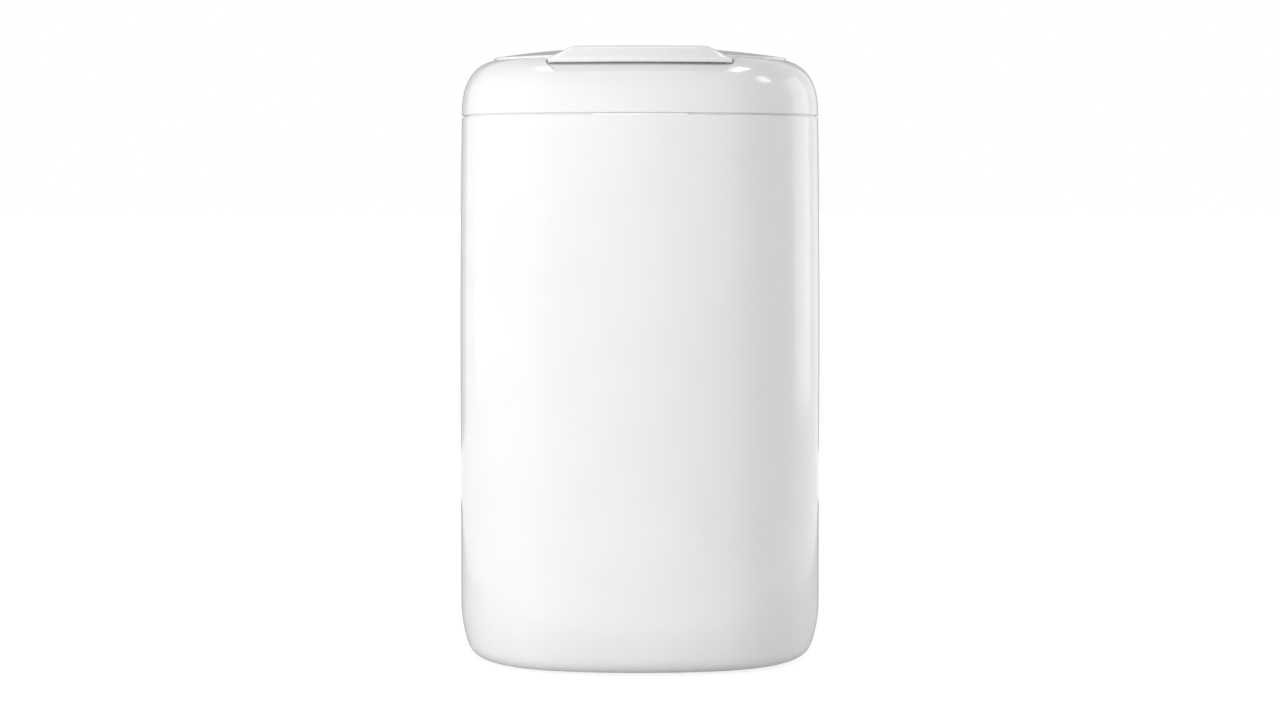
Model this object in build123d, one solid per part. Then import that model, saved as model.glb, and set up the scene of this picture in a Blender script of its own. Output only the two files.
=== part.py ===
"""Small washroom waste bin: a tall white container with a lift-off lid frame and a hinged flap.

The bin stands on the floor or is screwed to a wall by the holes in its back.
X runs across the bin, the front faces -Y and the wall side faces +Y. Z is up, and the
floor is at zero. The origin is the middle of the footprint.

The plan is a closed run of tangent arcs with a straight back. Walls, shoulder and rings
are cross-sections of inset and height, carried round that plan.
"""

from build123d import *
import os
from math import acos, asin, atan2, cos, degrees, hypot, radians, sin, sqrt

# Plan of the bin, seen from above, at its widest level
BIN_WIDTH = 190.0
FRONT_REACH = 80.0
REAR_REACH = 80.0
FRONT_RADIUS = 165.0
CORNER_RADIUS = 68.0
SIDE_RADIUS = 125.0
REAR_CORNER_RADIUS = 38.0

# Cutting tools run past the faces they cut by this much
OVERRUN = 5.0

# Container shell
RIM_HEIGHT = 284.9
FLOOR_CLEARANCE = 1.0
CONTAINER_WALL = 2.6
CROWN_LEVEL = 150.0
RIM_CROWN = 1.2
BASE_TILT = 17.5
BASE_SIDE_RADIUS = 72.0
BASE_EDGE_RADIUS = 11.5
RIM_CHAMFER = 0.5
UNDERSIDE_INSET = 31.0
UNDERSIDE_DEPTH = 3.0

# Front key: a bevelled tongue on the rim that fills the seam groove and centres the lid
KEY_WIDTH = 49.0
KEY_CLEARANCE = 0.25

# Ledges inside the container that carry the bag ring, at a drop below the rim
BAG_LEDGE_DROP = 27.9
BAG_LEDGE_THICKNESS = 4.0
BAG_LEDGE_REACH = 6.5
BAG_LEDGE_LENGTH = 22.0
BAG_LEDGE_SPACING = 60.0

# Wall screw holes in the back, with a raised pad round each
SCREW_HOLE_RADIUS = 2.75
SCREW_SPACING_ACROSS = 60.0
SCREW_SPACING_UP = 150.0
SCREW_PATTERN_HEIGHT = 150.0
SCREW_PAD_RADIUS = 8.0
SCREW_PAD_HEIGHT = 1.2

# Rubber feet under the base, each in a shallow socket, spaced by shares of the bin
FOOT_RADIUS = 7.5
FOOT_EDGE_RADIUS = 0.8
FOOT_ACROSS_SHARE = 0.4421
FOOT_DEEP_SHARE = 0.375
FOOT_SOCKET_WALL = 1.4
FOOT_SOCKET_HEIGHT = 1.6
FOOT_SOCKET_CLEARANCE = 0.15

# Bag ring that hangs in the mouth of the container
BAG_RING_CLEARANCE = 0.7
BAG_RING_HEIGHT = 13.0
BAG_RING_WALL = 1.8
BAG_RING_FLANGE = 5.0
BAG_RING_TAB_RADIUS = 13.0
BAG_RING_FINGER_RADIUS = 9.0

# Lid frame: the rounded shoulder between the container and the flap
FRAME_WALL = 2.4
SEAM_GAP = 1.0
SEAM_DEPTH = 1.0
FRAME_EDGE_CHAMFER = 0.5
SHOULDER_REACH = 24.0
SHOULDER_RISE = 29.2
SHOULDER_POWER = 2.5
SHOULDER_STEPS = 8
SEAT_WEB = 2.5
SKIRT_CLEARANCE = 0.4
SKIRT_WALL = 1.8
SKIRT_DEPTH = 11.5
LEDGE_SINK = 2.5
LEDGE_WIDTH = 8.8
LEDGE_THICKNESS = 2.2
CHUTE_WALL = 2.0
CHUTE_DEPTH = 16.0

# Finger scoop in the front of the lid frame, with drops below the ledge and shares of the width
SCOOP_LIP_INSET = 4.6
SCOOP_LIP_DROP = 7.0
SCOOP_BACK_INSET = 14.0
SCOOP_BACK_DROP = 3.7
SCOOP_WALL_INSET = 15.5
SCOOP_TOP_DROP = 1.6
SCOOP_TOP_SHARE = 0.25
SCOOP_LIP_SHARE = 0.2158
SCOOP_WALL = 2.2

# Flap skin: a shallow dome over the mouth, lowest at its rear corners
FLAP_INSET = 18.2
FLAP_GAP = 0.5
FLAP_SKIN = 2.2
FLAP_LIFT = 0.7
FLAP_ACROSS_RADIUS = 500.0
FLAP_DEEP_RADIUS = 350.0
FLAP_EDGE_RISE = 0.461
FLAP_EDGE_SHARE = 1.0

# Grip: the raised visor at the front of the flap, with shares of the width
GRIP_INSET = 7.0
GRIP_TOP_INSET = 13.0
GRIP_TOP_DROP = 2.0
GRIP_BOTTOM_SHARE = 0.2405
GRIP_TOP_SHARE = 0.1737
GRIP_CORNER_RADIUS = 7.0
GRIP_BROW_RADIUS = 2.2
GRIP_REACH_BACK = 60.0
GRIP_CLEARANCE = 0.5

# Cover on the underside of the flap, welded to a rib that runs round the underside
COVER_DROP = 0.2
COVER_CLEARANCE = 1.0
COVER_THICKNESS = 1.6
COVER_RIB_SETBACK = 2.0
COVER_RIB_WALL = 1.5

# Hinge at the back of the flap
HINGE_RISE = 1.3
HINGE_END_SETBACK = 0.19
BARREL_RADIUS = 3.1
BARREL_SETBACK = 0.2
BARREL_GAP = 0.5
ROD_RADIUS = 1.25
ROD_CLEARANCE = 0.05
ROD_END_GAP = 0.5
ROD_END_CHAMFER = 0.3
WELL_WALL = 2.2
WELL_ROOT_BITE = 0.5
HINGE_RELIEF = 0.8
EAR_WIDTH = 6.0
EAR_GAP = 0.4
EAR_SLOT_WIDTH = 2.0
INNER_EAR_SHARE = 0.4435

# Soft bumpers that the flap lands on, placed by a turn round each front corner
BUMPER_TURN = -61.7
BUMPER_HEAD_RADIUS = 3.2
BUMPER_STEM_RADIUS = 1.7
BUMPER_BARB_RADIUS = 2.3
BUMPER_BARB_LENGTH = 1.6
BUMPER_TIP_RADIUS = 1.2
BUMPER_HOLE_CLEARANCE = 0.05
LANDING_RADIUS = 3.4

# Heights worked out from the sizes above
FLOOR_TOP = FLOOR_CLEARANCE + CONTAINER_WALL
UNDERSIDE_TOP = FLOOR_CLEARANCE + UNDERSIDE_DEPTH
BAG_LEDGE_HEIGHT = RIM_HEIGHT - BAG_LEDGE_DROP
FRAME_EDGE_HEIGHT = RIM_HEIGHT + SEAM_GAP
LEDGE_HEIGHT = FRAME_EDGE_HEIGHT + SHOULDER_RISE - LEDGE_SINK
LEDGE_UNDER_HEIGHT = LEDGE_HEIGHT - LEDGE_THICKNESS
FLAP_UNDER_HEIGHT = LEDGE_HEIGHT + FLAP_LIFT
SCOOP_LIP_HEIGHT = LEDGE_HEIGHT - SCOOP_LIP_DROP
SCOOP_BACK_HEIGHT = LEDGE_HEIGHT - SCOOP_BACK_DROP
SCOOP_TOP_HEIGHT = LEDGE_HEIGHT - SCOOP_TOP_DROP
GRIP_BOTTOM_HEIGHT = SCOOP_TOP_HEIGHT
COVER_HEIGHT = LEDGE_HEIGHT - COVER_DROP
HINGE_HEIGHT = LEDGE_HEIGHT + HINGE_RISE
WELL_FLOOR_HEIGHT = HINGE_HEIGHT - BARREL_RADIUS - BARREL_GAP
WELL_BOTTOM_HEIGHT = WELL_FLOOR_HEIGHT - WELL_WALL
TOOL_TOP = LEDGE_HEIGHT + SHOULDER_RISE

# Places in the plan worked out from the sizes above
QUARTER_TURN = radians(90)
FRONT_CENTRE_Y = FRONT_RADIUS - FRONT_REACH
REAR_CENTRE_Y = REAR_REACH - REAR_CORNER_RADIUS
SIDE_CENTRE_X = BIN_WIDTH / 2 - SIDE_RADIUS
REAR_FLAT_HALF = SIDE_CENTRE_X + sqrt((SIDE_RADIUS - REAR_CORNER_RADIUS) ** 2 - REAR_CENTRE_Y**2)
SEAM_INSET = RIM_CROWN + SEAM_DEPTH
SKIRT_INSET = RIM_CROWN + CONTAINER_WALL + SKIRT_CLEARANCE
RING_INSET = RIM_CROWN + CONTAINER_WALL + BAG_RING_CLEARANCE
RECESS_INSET = FLAP_INSET - FLAP_GAP
MOUTH_INSET = FLAP_INSET + LEDGE_WIDTH
BUMPER_INSET = (RECESS_INSET + MOUTH_INSET) / 2
HINGE_Y = REAR_REACH - FLAP_INSET - BARREL_RADIUS - BARREL_SETBACK
HINGE_HALF = REAR_FLAT_HALF - HINGE_END_SETBACK
WELL_FRONT_Y = HINGE_Y - BARREL_RADIUS - BARREL_GAP
SCOOP_TOP_HALF_WIDTH = BIN_WIDTH * SCOOP_TOP_SHARE
SCOOP_LIP_HALF_WIDTH = BIN_WIDTH * SCOOP_LIP_SHARE
GRIP_BOTTOM_HALF_WIDTH = BIN_WIDTH * GRIP_BOTTOM_SHARE
GRIP_TOP_HALF_WIDTH = BIN_WIDTH * GRIP_TOP_SHARE
GRIP_HANG_INSET = SCOOP_WALL_INSET - GRIP_CLEARANCE


def circle_meeting(first, first_radius, second, second_radius):
    """Front right meeting point of two circles given by centre and radius."""
    gap_x, gap_y = second[0] - first[0], second[1] - first[1]
    gap = hypot(gap_x, gap_y)
    along = (first_radius**2 - second_radius**2 + gap**2) / (gap + gap)
    aside = sqrt(first_radius**2 - along**2)
    unit_x, unit_y = gap_x / gap, gap_y / gap
    middle = (first[0] + along * unit_x, first[1] + along * unit_y)
    both = [(middle[0] - side * aside * unit_y, middle[1] + side * aside * unit_x) for side in (-1, 1)]
    return max(both, key=lambda point: point[0] - point[1])


def plan_arcs():
    """Right-hand plan arcs from front to back: centre, radius, first turn and last turn."""
    front = (0.0, FRONT_CENTRE_Y)
    side = (SIDE_CENTRE_X, 0.0)
    corner = circle_meeting(front, FRONT_RADIUS - CORNER_RADIUS, side, SIDE_RADIUS - CORNER_RADIUS)
    rear = (REAR_FLAT_HALF, REAR_CENTRE_Y)
    front_turn = atan2(corner[1] - front[1], corner[0])
    side_turn = atan2(corner[1], corner[0] - side[0])
    rear_turn = atan2(rear[1], rear[0] - side[0])
    return [
        (front, FRONT_RADIUS, -QUARTER_TURN, front_turn),
        (corner, CORNER_RADIUS, front_turn, side_turn),
        (side, SIDE_RADIUS, side_turn, rear_turn),
        (rear, REAR_CORNER_RADIUS, rear_turn, QUARTER_TURN),
    ]


def plan_face(inset, height):
    """Face that fills the plan outline, moved in by an inset, at one height."""
    edges = []
    mirrored = []
    for (x, y), radius, start, end in plan_arcs():
        points = [
            (x + (radius - inset) * cos(turn), y + (radius - inset) * sin(turn), height)
            for turn in (start, (start + end) / 2, end)
        ]
        edges.append(Edge.make_three_point_arc(*points))
        mirrored.append(Edge.make_three_point_arc(*[(-px, py, pz) for px, py, pz in reversed(points)]))
    rear_end = edges[-1] @ 1
    edges.append(Edge.make_line(rear_end, (-rear_end.X, rear_end.Y, rear_end.Z)))
    return Face(Wire(edges + mirrored[::-1]))


def plan_prism(inset, bottom, top):
    """Upright prism on the plan outline."""
    return extrude(plan_face(inset, bottom), amount=top - bottom, dir=(0, 0, 1))


def plan_ring(inset, wall, bottom, top):
    """Upright ring that follows the plan outline."""
    return plan_prism(inset, bottom, top) - plan_prism(inset + wall, bottom - OVERRUN, top + OVERRUN)


def straight(*points):
    """Straight edges of a cross-section through points of inset and height."""
    placed = [(-inset, 0, height) for inset, height in points]
    return [Edge.make_line(a, b) for a, b in zip(placed, placed[1:])]


def arc(start, middle, end):
    """Arc edge of a cross-section through three points of inset and height."""
    return [Edge.make_three_point_arc(*[(-inset, 0, height) for inset, height in (start, middle, end)])]


def smooth(points):
    """Smooth edge of a cross-section through points of inset and height."""
    return [Edge.make_spline([(-inset, 0, height) for inset, height in points])]


def around_plan(edges, front_only=False):
    """Carries a closed cross-section of inset and height round the plan, or round its front half."""
    section = Face(Wire(edges))
    right_half = []
    arcs = plan_arcs()
    for (x, y), radius, start, end in arcs[:2] if front_only else arcs:
        piece = revolve(Pos(radius, 0, 0) * section, axis=Axis.Z, revolution_arc=degrees(end - start))
        right_half.append(Pos(x, y, 0) * Rot(0, 0, degrees(start)) * piece)
    if not front_only:
        straight_back = Pos(0, REAR_REACH, 0) * Rot(0, 0, 90) * section
        right_half.append(extrude(straight_back, amount=REAR_FLAT_HALF, dir=(1, 0, 0)))
    half = right_half[0].fuse(*right_half[1:])
    return half + mirror(half, about=Plane.YZ)


def crown(height):
    """How far the walls lean in at a height above the widest level."""
    return RIM_CROWN * (max(height - CROWN_LEVEL, 0.0) / (RIM_HEIGHT - CROWN_LEVEL)) ** 2


def shoulder_point(depth, turn):
    """Point of inset and height on the shoulder, at a depth inside its outer face."""
    reach, rise, power = SHOULDER_REACH - depth, SHOULDER_RISE - depth, 2 / SHOULDER_POWER
    inset = RIM_CROWN + depth + reach * (1 - cos(turn) ** power)
    return (inset, FRAME_EDGE_HEIGHT + rise * sin(turn) ** power)


def shoulder_turn_at_inset(inset):
    """Turn at which the outer shoulder has moved in to an inset."""
    return acos((1 - (inset - RIM_CROWN) / SHOULDER_REACH) ** (SHOULDER_POWER / 2))


def shoulder_turn_at_height(depth, height):
    """Turn at which the shoulder has risen to a height, at a depth inside its outer face."""
    return asin(((height - FRAME_EDGE_HEIGHT) / (SHOULDER_RISE - depth)) ** (SHOULDER_POWER / 2))


def front_revolve(points, half_width):
    """Turns a closed profile of inset and height about the upright axis of the front arc."""
    section = Face(Wire(straight(*points, points[0])))
    least = FRONT_RADIUS - max(inset for inset, _ in points)
    sweep = 2 * degrees(asin(half_width / least))
    turned = revolve(Pos(FRONT_RADIUS, 0, 0) * section, axis=Axis.Z, revolution_arc=sweep)
    return Pos(0, FRONT_CENTRE_Y, 0) * Rot(0, 0, -degrees(QUARTER_TURN) - sweep / 2) * turned


def front_taper(points, corner_radius=0.0):
    """Prism through the depth of the bin on points of half width and height, given from the bottom up."""
    right = [(half, 0, height) for half, height in points]
    left = [(-half, 0, height) for half, height in reversed(points)]
    face = Face(Wire.make_polygon(right + left, close=True))
    if corner_radius:
        face = face.fillet_2d(corner_radius, [v for v in face.vertices() if v.Z == points[-1][1]])
    return extrude(face, amount=BIN_WIDTH, both=True, dir=(0, 1, 0))


def upright(radius, bottom, top, x=0.0, y=0.0):
    """Solid round post."""
    return Pos(x, y, bottom) * Cylinder(radius, top - bottom, align=(Align.CENTER, Align.CENTER, Align.MIN))


def along_x(radius, start, end, y, z):
    """Solid round bar across the bin."""
    bar = Cylinder(radius, end - start, align=(Align.CENTER, Align.CENTER, Align.MIN))
    return Pos(start, y, z) * Rot(0, 90, 0) * bar


def along_y(radius, start, end, x, z):
    """Solid round bar from front to back."""
    bar = Cylinder(radius, end - start, align=(Align.CENTER, Align.CENTER, Align.MIN))
    return Pos(x, start, z) * Rot(-90, 0, 0) * bar


def block(x_range, y_range, z_range):
    """Box between limits."""
    sizes = [high - low for low, high in (x_range, y_range, z_range)]
    return Pos(x_range[0], y_range[0], z_range[0]) * Box(*sizes, align=(Align.MIN, Align.MIN, Align.MIN))


def container_profile(depth, top):
    """Edges up the container wall at a depth inside its outer face, and their two end points."""
    tilt = radians(BASE_TILT)
    side, edge = BASE_SIDE_RADIUS - depth, BASE_EDGE_RADIUS - depth
    spread = BASE_SIDE_RADIUS - BASE_EDGE_RADIUS
    edge_centre = (BASE_SIDE_RADIUS - spread * cos(tilt), FLOOR_CLEARANCE + BASE_EDGE_RADIUS)
    side_level = edge_centre[1] + spread * sin(tilt)

    def on_edge(turn):
        return (edge_centre[0] - edge * cos(turn), edge_centre[1] - edge * sin(turn))

    def on_side(turn):
        return (BASE_SIDE_RADIUS - side * cos(turn), side_level - side * sin(turn))

    def on_crown(height):
        return (depth + crown(height), height)

    first, last = on_edge(QUARTER_TURN), on_crown(top)
    edges = arc(first, on_edge((QUARTER_TURN + tilt) / 2), on_edge(tilt))
    edges += arc(on_side(tilt), on_side(tilt / 2), on_side(0))
    edges += straight(on_side(0), on_crown(CROWN_LEVEL))
    edges += arc(on_crown(CROWN_LEVEL), on_crown((CROWN_LEVEL + top) / 2), last)
    return edges, first, last


def screw_places():
    """Centres of the wall screw holes, across and up."""
    across, up = SCREW_SPACING_ACROSS / 2, SCREW_SPACING_UP / 2
    return [(x, SCREW_PATTERN_HEIGHT + z) for x in (-across, across) for z in (-up, up)]


def foot_places():
    """Names and centres of the feet."""
    across = BIN_WIDTH * FOOT_ACROSS_SHARE / 2
    deep = (FRONT_REACH + REAR_REACH) * FOOT_DEEP_SHARE / 2
    sides = (("left", -across), ("right", across))
    ends = (("front", -deep), ("rear", deep))
    return {f"foot_{end}_{side}": (x, y) for end, y in ends for side, x in sides}


def bumper_places():
    """Names and centres of the flap bumpers."""
    (x, y), radius, _, _ = plan_arcs()[1]
    turn = radians(BUMPER_TURN)
    x += (radius - BUMPER_INSET) * cos(turn)
    y += (radius - BUMPER_INSET) * sin(turn)
    return {"flap_bumper_left": (-x, y), "flap_bumper_right": (x, y)}


def ear_places():
    """Middles of the hinge ears across the bin."""
    offsets = (HINGE_HALF * INNER_EAR_SHARE, HINGE_HALF - EAR_WIDTH / 2)
    return [side * offset for offset in offsets for side in (-1, 1)]


def make_container():
    """Deep shell with crowned walls, a recessed underside, bag ledges, wall holes and the front key."""
    outer, outer_first, outer_last = container_profile(0.0, RIM_HEIGHT - RIM_CHAMFER)
    inner, inner_first, inner_last = container_profile(CONTAINER_WALL, RIM_HEIGHT)
    rim = straight(outer_last, (RIM_CROWN + RIM_CHAMFER, RIM_HEIGHT), inner_last)
    body = around_plan(outer + rim + inner[::-1] + straight(inner_first, outer_first))
    body += plan_prism(outer_first[0], FLOOR_CLEARANCE, FLOOR_TOP)
    body += plan_prism(UNDERSIDE_INSET - CONTAINER_WALL, FLOOR_CLEARANCE, UNDERSIDE_TOP + CONTAINER_WALL)
    body -= plan_prism(UNDERSIDE_INSET, FLOOR_CLEARANCE - OVERRUN, UNDERSIDE_TOP)
    socket_radius = FOOT_RADIUS + FOOT_SOCKET_CLEARANCE
    for x, y in foot_places().values():
        socket_bottom = UNDERSIDE_TOP - FOOT_SOCKET_HEIGHT
        body += upright(socket_radius + FOOT_SOCKET_WALL, socket_bottom, UNDERSIDE_TOP, x, y)
        body -= upright(socket_radius, FLOOR_CLEARANCE, UNDERSIDE_TOP, x, y)
    body += bag_ledges()
    inner_face = REAR_REACH - CONTAINER_WALL
    for x, z in screw_places():
        body += along_y(SCREW_PAD_RADIUS, inner_face - SCREW_PAD_HEIGHT, REAR_REACH, x, z)
        body -= along_y(SCREW_HOLE_RADIUS, inner_face - OVERRUN, REAR_REACH + OVERRUN, x, z)
    return body + front_key()


def bag_ledges():
    """Short ledges on the inner wall, at the sides, the front and the back."""
    root = CONTAINER_WALL / 2
    bottom = BAG_LEDGE_HEIGHT - BAG_LEDGE_THICKNESS
    ring = plan_ring(crown(BAG_LEDGE_HEIGHT) + root, root + BAG_LEDGE_REACH, bottom, BAG_LEDGE_HEIGHT)
    half = BAG_LEDGE_LENGTH / 2
    heights = (bottom, BAG_LEDGE_HEIGHT)
    blocks = block((-BIN_WIDTH, BIN_WIDTH), (-half, half), heights)
    for x in (-BAG_LEDGE_SPACING / 2, BAG_LEDGE_SPACING / 2):
        blocks += block((x - half, x + half), (-BIN_WIDTH, BIN_WIDTH), heights)
    return ring & blocks


def front_key():
    """Bevelled tongue along the middle of the front rim."""
    root = RIM_HEIGHT - CONTAINER_WALL
    back = SEAM_INSET - KEY_CLEARANCE
    top = FRAME_EDGE_HEIGHT - KEY_CLEARANCE
    profile = [(RIM_CROWN, root), (RIM_CROWN, RIM_HEIGHT - RIM_CHAMFER), (back, top), (back, root)]
    half = KEY_WIDTH / 2
    ends = [(half, root), (half, RIM_HEIGHT), (half - SEAM_GAP, FRAME_EDGE_HEIGHT)]
    return front_revolve(profile, half + OVERRUN) & front_taper(ends)


def make_foot(x, y):
    """Round rubber foot that fills its socket and stands on the floor."""
    foot = upright(FOOT_RADIUS, 0.0, UNDERSIDE_TOP, x, y)
    return fillet(foot.edges().group_by(Axis.Z)[0], FOOT_EDGE_RADIUS)


def make_bag_ring():
    """Ring with an inward flange and two finger tabs, over which the bag is folded."""
    top = BAG_LEDGE_HEIGHT + BAG_RING_HEIGHT
    flange_inset = RING_INSET + BAG_RING_WALL + BAG_RING_FLANGE
    flange_bottom = top - BAG_RING_WALL
    ring = plan_ring(RING_INSET, BAG_RING_WALL, BAG_LEDGE_HEIGHT, top)
    ring += plan_ring(RING_INSET, BAG_RING_WALL + BAG_RING_FLANGE, flange_bottom, top)
    tab_x = BIN_WIDTH / 2 - flange_inset
    inside = plan_prism(RING_INSET, flange_bottom - OVERRUN, top + OVERRUN)
    for x in (-tab_x, tab_x):
        ring += upright(BAG_RING_TAB_RADIUS, flange_bottom, top, x) & inside
        ring -= upright(BAG_RING_FINGER_RADIUS, flange_bottom - OVERRUN, top + OVERRUN, x) & plan_prism(
            flange_inset - BAG_RING_WALL, flange_bottom - OVERRUN, top + OVERRUN
        )
    return ring


def shoulder_outside():
    """Points up the outer face of the shoulder, from the edge chamfer to the flap recess."""
    last = shoulder_turn_at_inset(RECESS_INSET)
    turns = [last * step / SHOULDER_STEPS for step in range(1, SHOULDER_STEPS + 1)]
    first = (RIM_CROWN, FRAME_EDGE_HEIGHT + FRAME_EDGE_CHAMFER)
    return [first] + [shoulder_point(0.0, turn) for turn in turns]


def frame_section():
    """Closed cross-section of the lid frame: shoulder, ledge, chute, seat and skirt."""
    outer = shoulder_outside()
    high = shoulder_turn_at_height(FRAME_WALL, LEDGE_UNDER_HEIGHT)
    low = shoulder_turn_at_height(FRAME_WALL, RIM_HEIGHT + SEAT_WEB)
    inner_turns = [high + (low - high) * step / SHOULDER_STEPS for step in range(SHOULDER_STEPS + 1)]
    inner = [shoulder_point(FRAME_WALL, turn) for turn in inner_turns]
    skirt_back = SKIRT_INSET + SKIRT_WALL
    skirt_bottom = RIM_HEIGHT - SKIRT_DEPTH
    edges = smooth(outer)
    edges += straight(
        outer[-1],
        (RECESS_INSET, LEDGE_HEIGHT),
        (MOUTH_INSET, LEDGE_HEIGHT),
        (MOUTH_INSET, LEDGE_HEIGHT - CHUTE_DEPTH),
        (MOUTH_INSET - CHUTE_WALL, LEDGE_HEIGHT - CHUTE_DEPTH),
        (MOUTH_INSET - CHUTE_WALL, LEDGE_UNDER_HEIGHT),
        inner[0],
    )
    edges += smooth(inner)
    edges += straight(
        inner[-1],
        (skirt_back, RIM_HEIGHT + SEAT_WEB),
        (skirt_back, skirt_bottom),
        (SKIRT_INSET, skirt_bottom),
        (SKIRT_INSET, RIM_HEIGHT),
        (SEAM_INSET, RIM_HEIGHT),
        (SEAM_INSET, FRAME_EDGE_HEIGHT),
        (RIM_CROWN + FRAME_EDGE_CHAMFER, FRAME_EDGE_HEIGHT),
        outer[0],
    )
    return edges


def scoop_profile(margin):
    """Profile of the finger scoop, grown downward and backward by a margin."""
    wall = SCOOP_WALL_INSET + margin
    return [
        (-OVERRUN, SCOOP_LIP_HEIGHT - margin),
        (SCOOP_LIP_INSET, SCOOP_LIP_HEIGHT - margin),
        (SCOOP_BACK_INSET, SCOOP_BACK_HEIGHT - margin),
        (wall, SCOOP_TOP_HEIGHT - margin),
        (wall, LEDGE_HEIGHT),
        (RECESS_INSET + OVERRUN, LEDGE_HEIGHT),
        (RECESS_INSET + OVERRUN, TOOL_TOP),
        (-OVERRUN, TOOL_TOP),
    ]


def scoop(margin):
    """Finger scoop as a solid, grown downward, backward and sideways by a margin."""
    slope = (SCOOP_TOP_HALF_WIDTH - SCOOP_LIP_HALF_WIDTH) / (SCOOP_TOP_HEIGHT - SCOOP_LIP_HEIGHT)
    points = [
        (SCOOP_LIP_HALF_WIDTH - slope * OVERRUN + margin, SCOOP_LIP_HEIGHT - OVERRUN),
        (SCOOP_TOP_HALF_WIDTH + margin, SCOOP_TOP_HEIGHT),
        (SCOOP_TOP_HALF_WIDTH + margin, TOOL_TOP),
    ]
    return front_revolve(scoop_profile(margin), SCOOP_TOP_HALF_WIDTH + OVERRUN) & front_taper(points)


def shoulder_block():
    """Solid filling of the front half of the shoulder, out to its outer face."""
    outer = shoulder_outside()
    back = RECESS_INSET + SCOOP_WALL
    corners = [(RECESS_INSET, LEDGE_HEIGHT), (back, LEDGE_HEIGHT), (back, outer[0][1])]
    return around_plan(smooth(outer) + straight(outer[-1], *corners, outer[0]), front_only=True)


def hinge_well():
    """Space cut into the back of the ledge for the barrel, with a relief behind the hinge."""
    heights = (WELL_FLOOR_HEIGHT, TOOL_TOP)
    well = plan_prism(RECESS_INSET, *heights)
    well &= block((-BIN_WIDTH, BIN_WIDTH), (WELL_FRONT_Y, REAR_REACH), heights)
    half = HINGE_HALF + EAR_GAP
    back = REAR_REACH - RECESS_INSET + HINGE_RELIEF
    return well + block((-half, half), (WELL_FRONT_Y, back), heights)


def hinge_ear(middle):
    """Ear that holds the rod, open at the top so that the rod snaps in."""
    start, end = middle - EAR_WIDTH / 2, middle + EAR_WIDTH / 2
    ear = along_x(BARREL_RADIUS, start, end, HINGE_Y, HINGE_HEIGHT)
    depth = (HINGE_Y - BARREL_RADIUS, HINGE_Y + BARREL_RADIUS)
    ear += block((start, end), depth, (WELL_FLOOR_HEIGHT - WELL_WALL / 2, HINGE_HEIGHT))
    ear -= along_x(ROD_RADIUS + ROD_CLEARANCE, start - EAR_GAP, end + EAR_GAP, HINGE_Y, HINGE_HEIGHT)
    slot = (HINGE_Y - EAR_SLOT_WIDTH / 2, HINGE_Y + EAR_SLOT_WIDTH / 2)
    return ear - block((start - EAR_GAP, end + EAR_GAP), slot, (HINGE_HEIGHT, TOOL_TOP))


def make_lid_frame():
    """Shoulder frame with the flap ledge, chute, seat, skirt, finger scoop, hinge well and ears."""
    frame = around_plan(frame_section())
    frame += scoop(SCOOP_WALL) & shoulder_block()
    frame -= scoop(0.0)
    root_turn = shoulder_turn_at_height(FRAME_WALL, WELL_BOTTOM_HEIGHT)
    root = shoulder_point(FRAME_WALL, root_turn)[0] - WELL_ROOT_BITE
    heights = (WELL_BOTTOM_HEIGHT, LEDGE_UNDER_HEIGHT)
    plate = plan_ring(root, MOUTH_INSET - root, *heights)
    frame += plate & block((-BIN_WIDTH, BIN_WIDTH), (WELL_FRONT_Y - WELL_WALL, REAR_REACH), heights)
    frame -= hinge_well()
    for middle in ear_places():
        frame += hinge_ear(middle)
    for x, y in bumper_places().values():
        hole = BUMPER_STEM_RADIUS + BUMPER_HOLE_CLEARANCE
        frame -= upright(hole, LEDGE_UNDER_HEIGHT - OVERRUN, LEDGE_HEIGHT + OVERRUN, x, y)
    return frame


def make_bumper(x, y):
    """Soft button with a stem and a barb that is pulled through the ledge."""
    head = upright(BUMPER_HEAD_RADIUS, LEDGE_HEIGHT, FLAP_UNDER_HEIGHT, x, y)
    stem = upright(BUMPER_STEM_RADIUS, LEDGE_UNDER_HEIGHT, LEDGE_HEIGHT, x, y)
    hanging = (Align.CENTER, Align.CENTER, Align.MAX)
    barb = Cone(BUMPER_TIP_RADIUS, BUMPER_BARB_RADIUS, BUMPER_BARB_LENGTH, align=hanging)
    return head + stem + Pos(x, y, LEDGE_UNDER_HEIGHT) * barb


def flap_crest():
    """Height of the crown of the flap, which leaves a thin edge above its lowest corners."""
    (x, y), radius, start, end = plan_arcs()[-1]
    turn = (start + end) / 2
    x += (radius - FLAP_INSET) * cos(turn)
    y += (radius - FLAP_INSET) * sin(turn)
    drop_across = FLAP_ACROSS_RADIUS - sqrt(FLAP_ACROSS_RADIUS**2 - x**2)
    drop = FLAP_DEEP_RADIUS - sqrt((FLAP_DEEP_RADIUS - drop_across) ** 2 - y**2)
    return FLAP_UNDER_HEIGHT + FLAP_EDGE_RISE + drop


def dome(sink):
    """Solid below the domed top of the flap, moved in by a depth."""
    across, deep, crest = FLAP_ACROSS_RADIUS - sink, FLAP_DEEP_RADIUS - sink, flap_crest() - sink
    half = BIN_WIDTH / 2
    end = crest - across + sqrt(across**2 - half**2)
    base = LEDGE_UNDER_HEIGHT - CHUTE_DEPTH
    left, right = (-half, 0, end), (half, 0, end)
    edges = [Edge.make_three_point_arc(left, (0, 0, crest), right)]
    corners = [right, (half, 0, base), (-half, 0, base), left]
    edges += [Edge.make_line(a, b) for a, b in zip(corners, corners[1:])]
    axis = Axis((0, 0, crest - deep), (1, 0, 0))
    sweep = 2 * degrees(asin(REAR_REACH / (base - crest + deep)))
    return revolve(Face(Wire(edges)), axis=axis, revolution_arc=sweep).rotate(axis, -sweep / 2)


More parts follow.
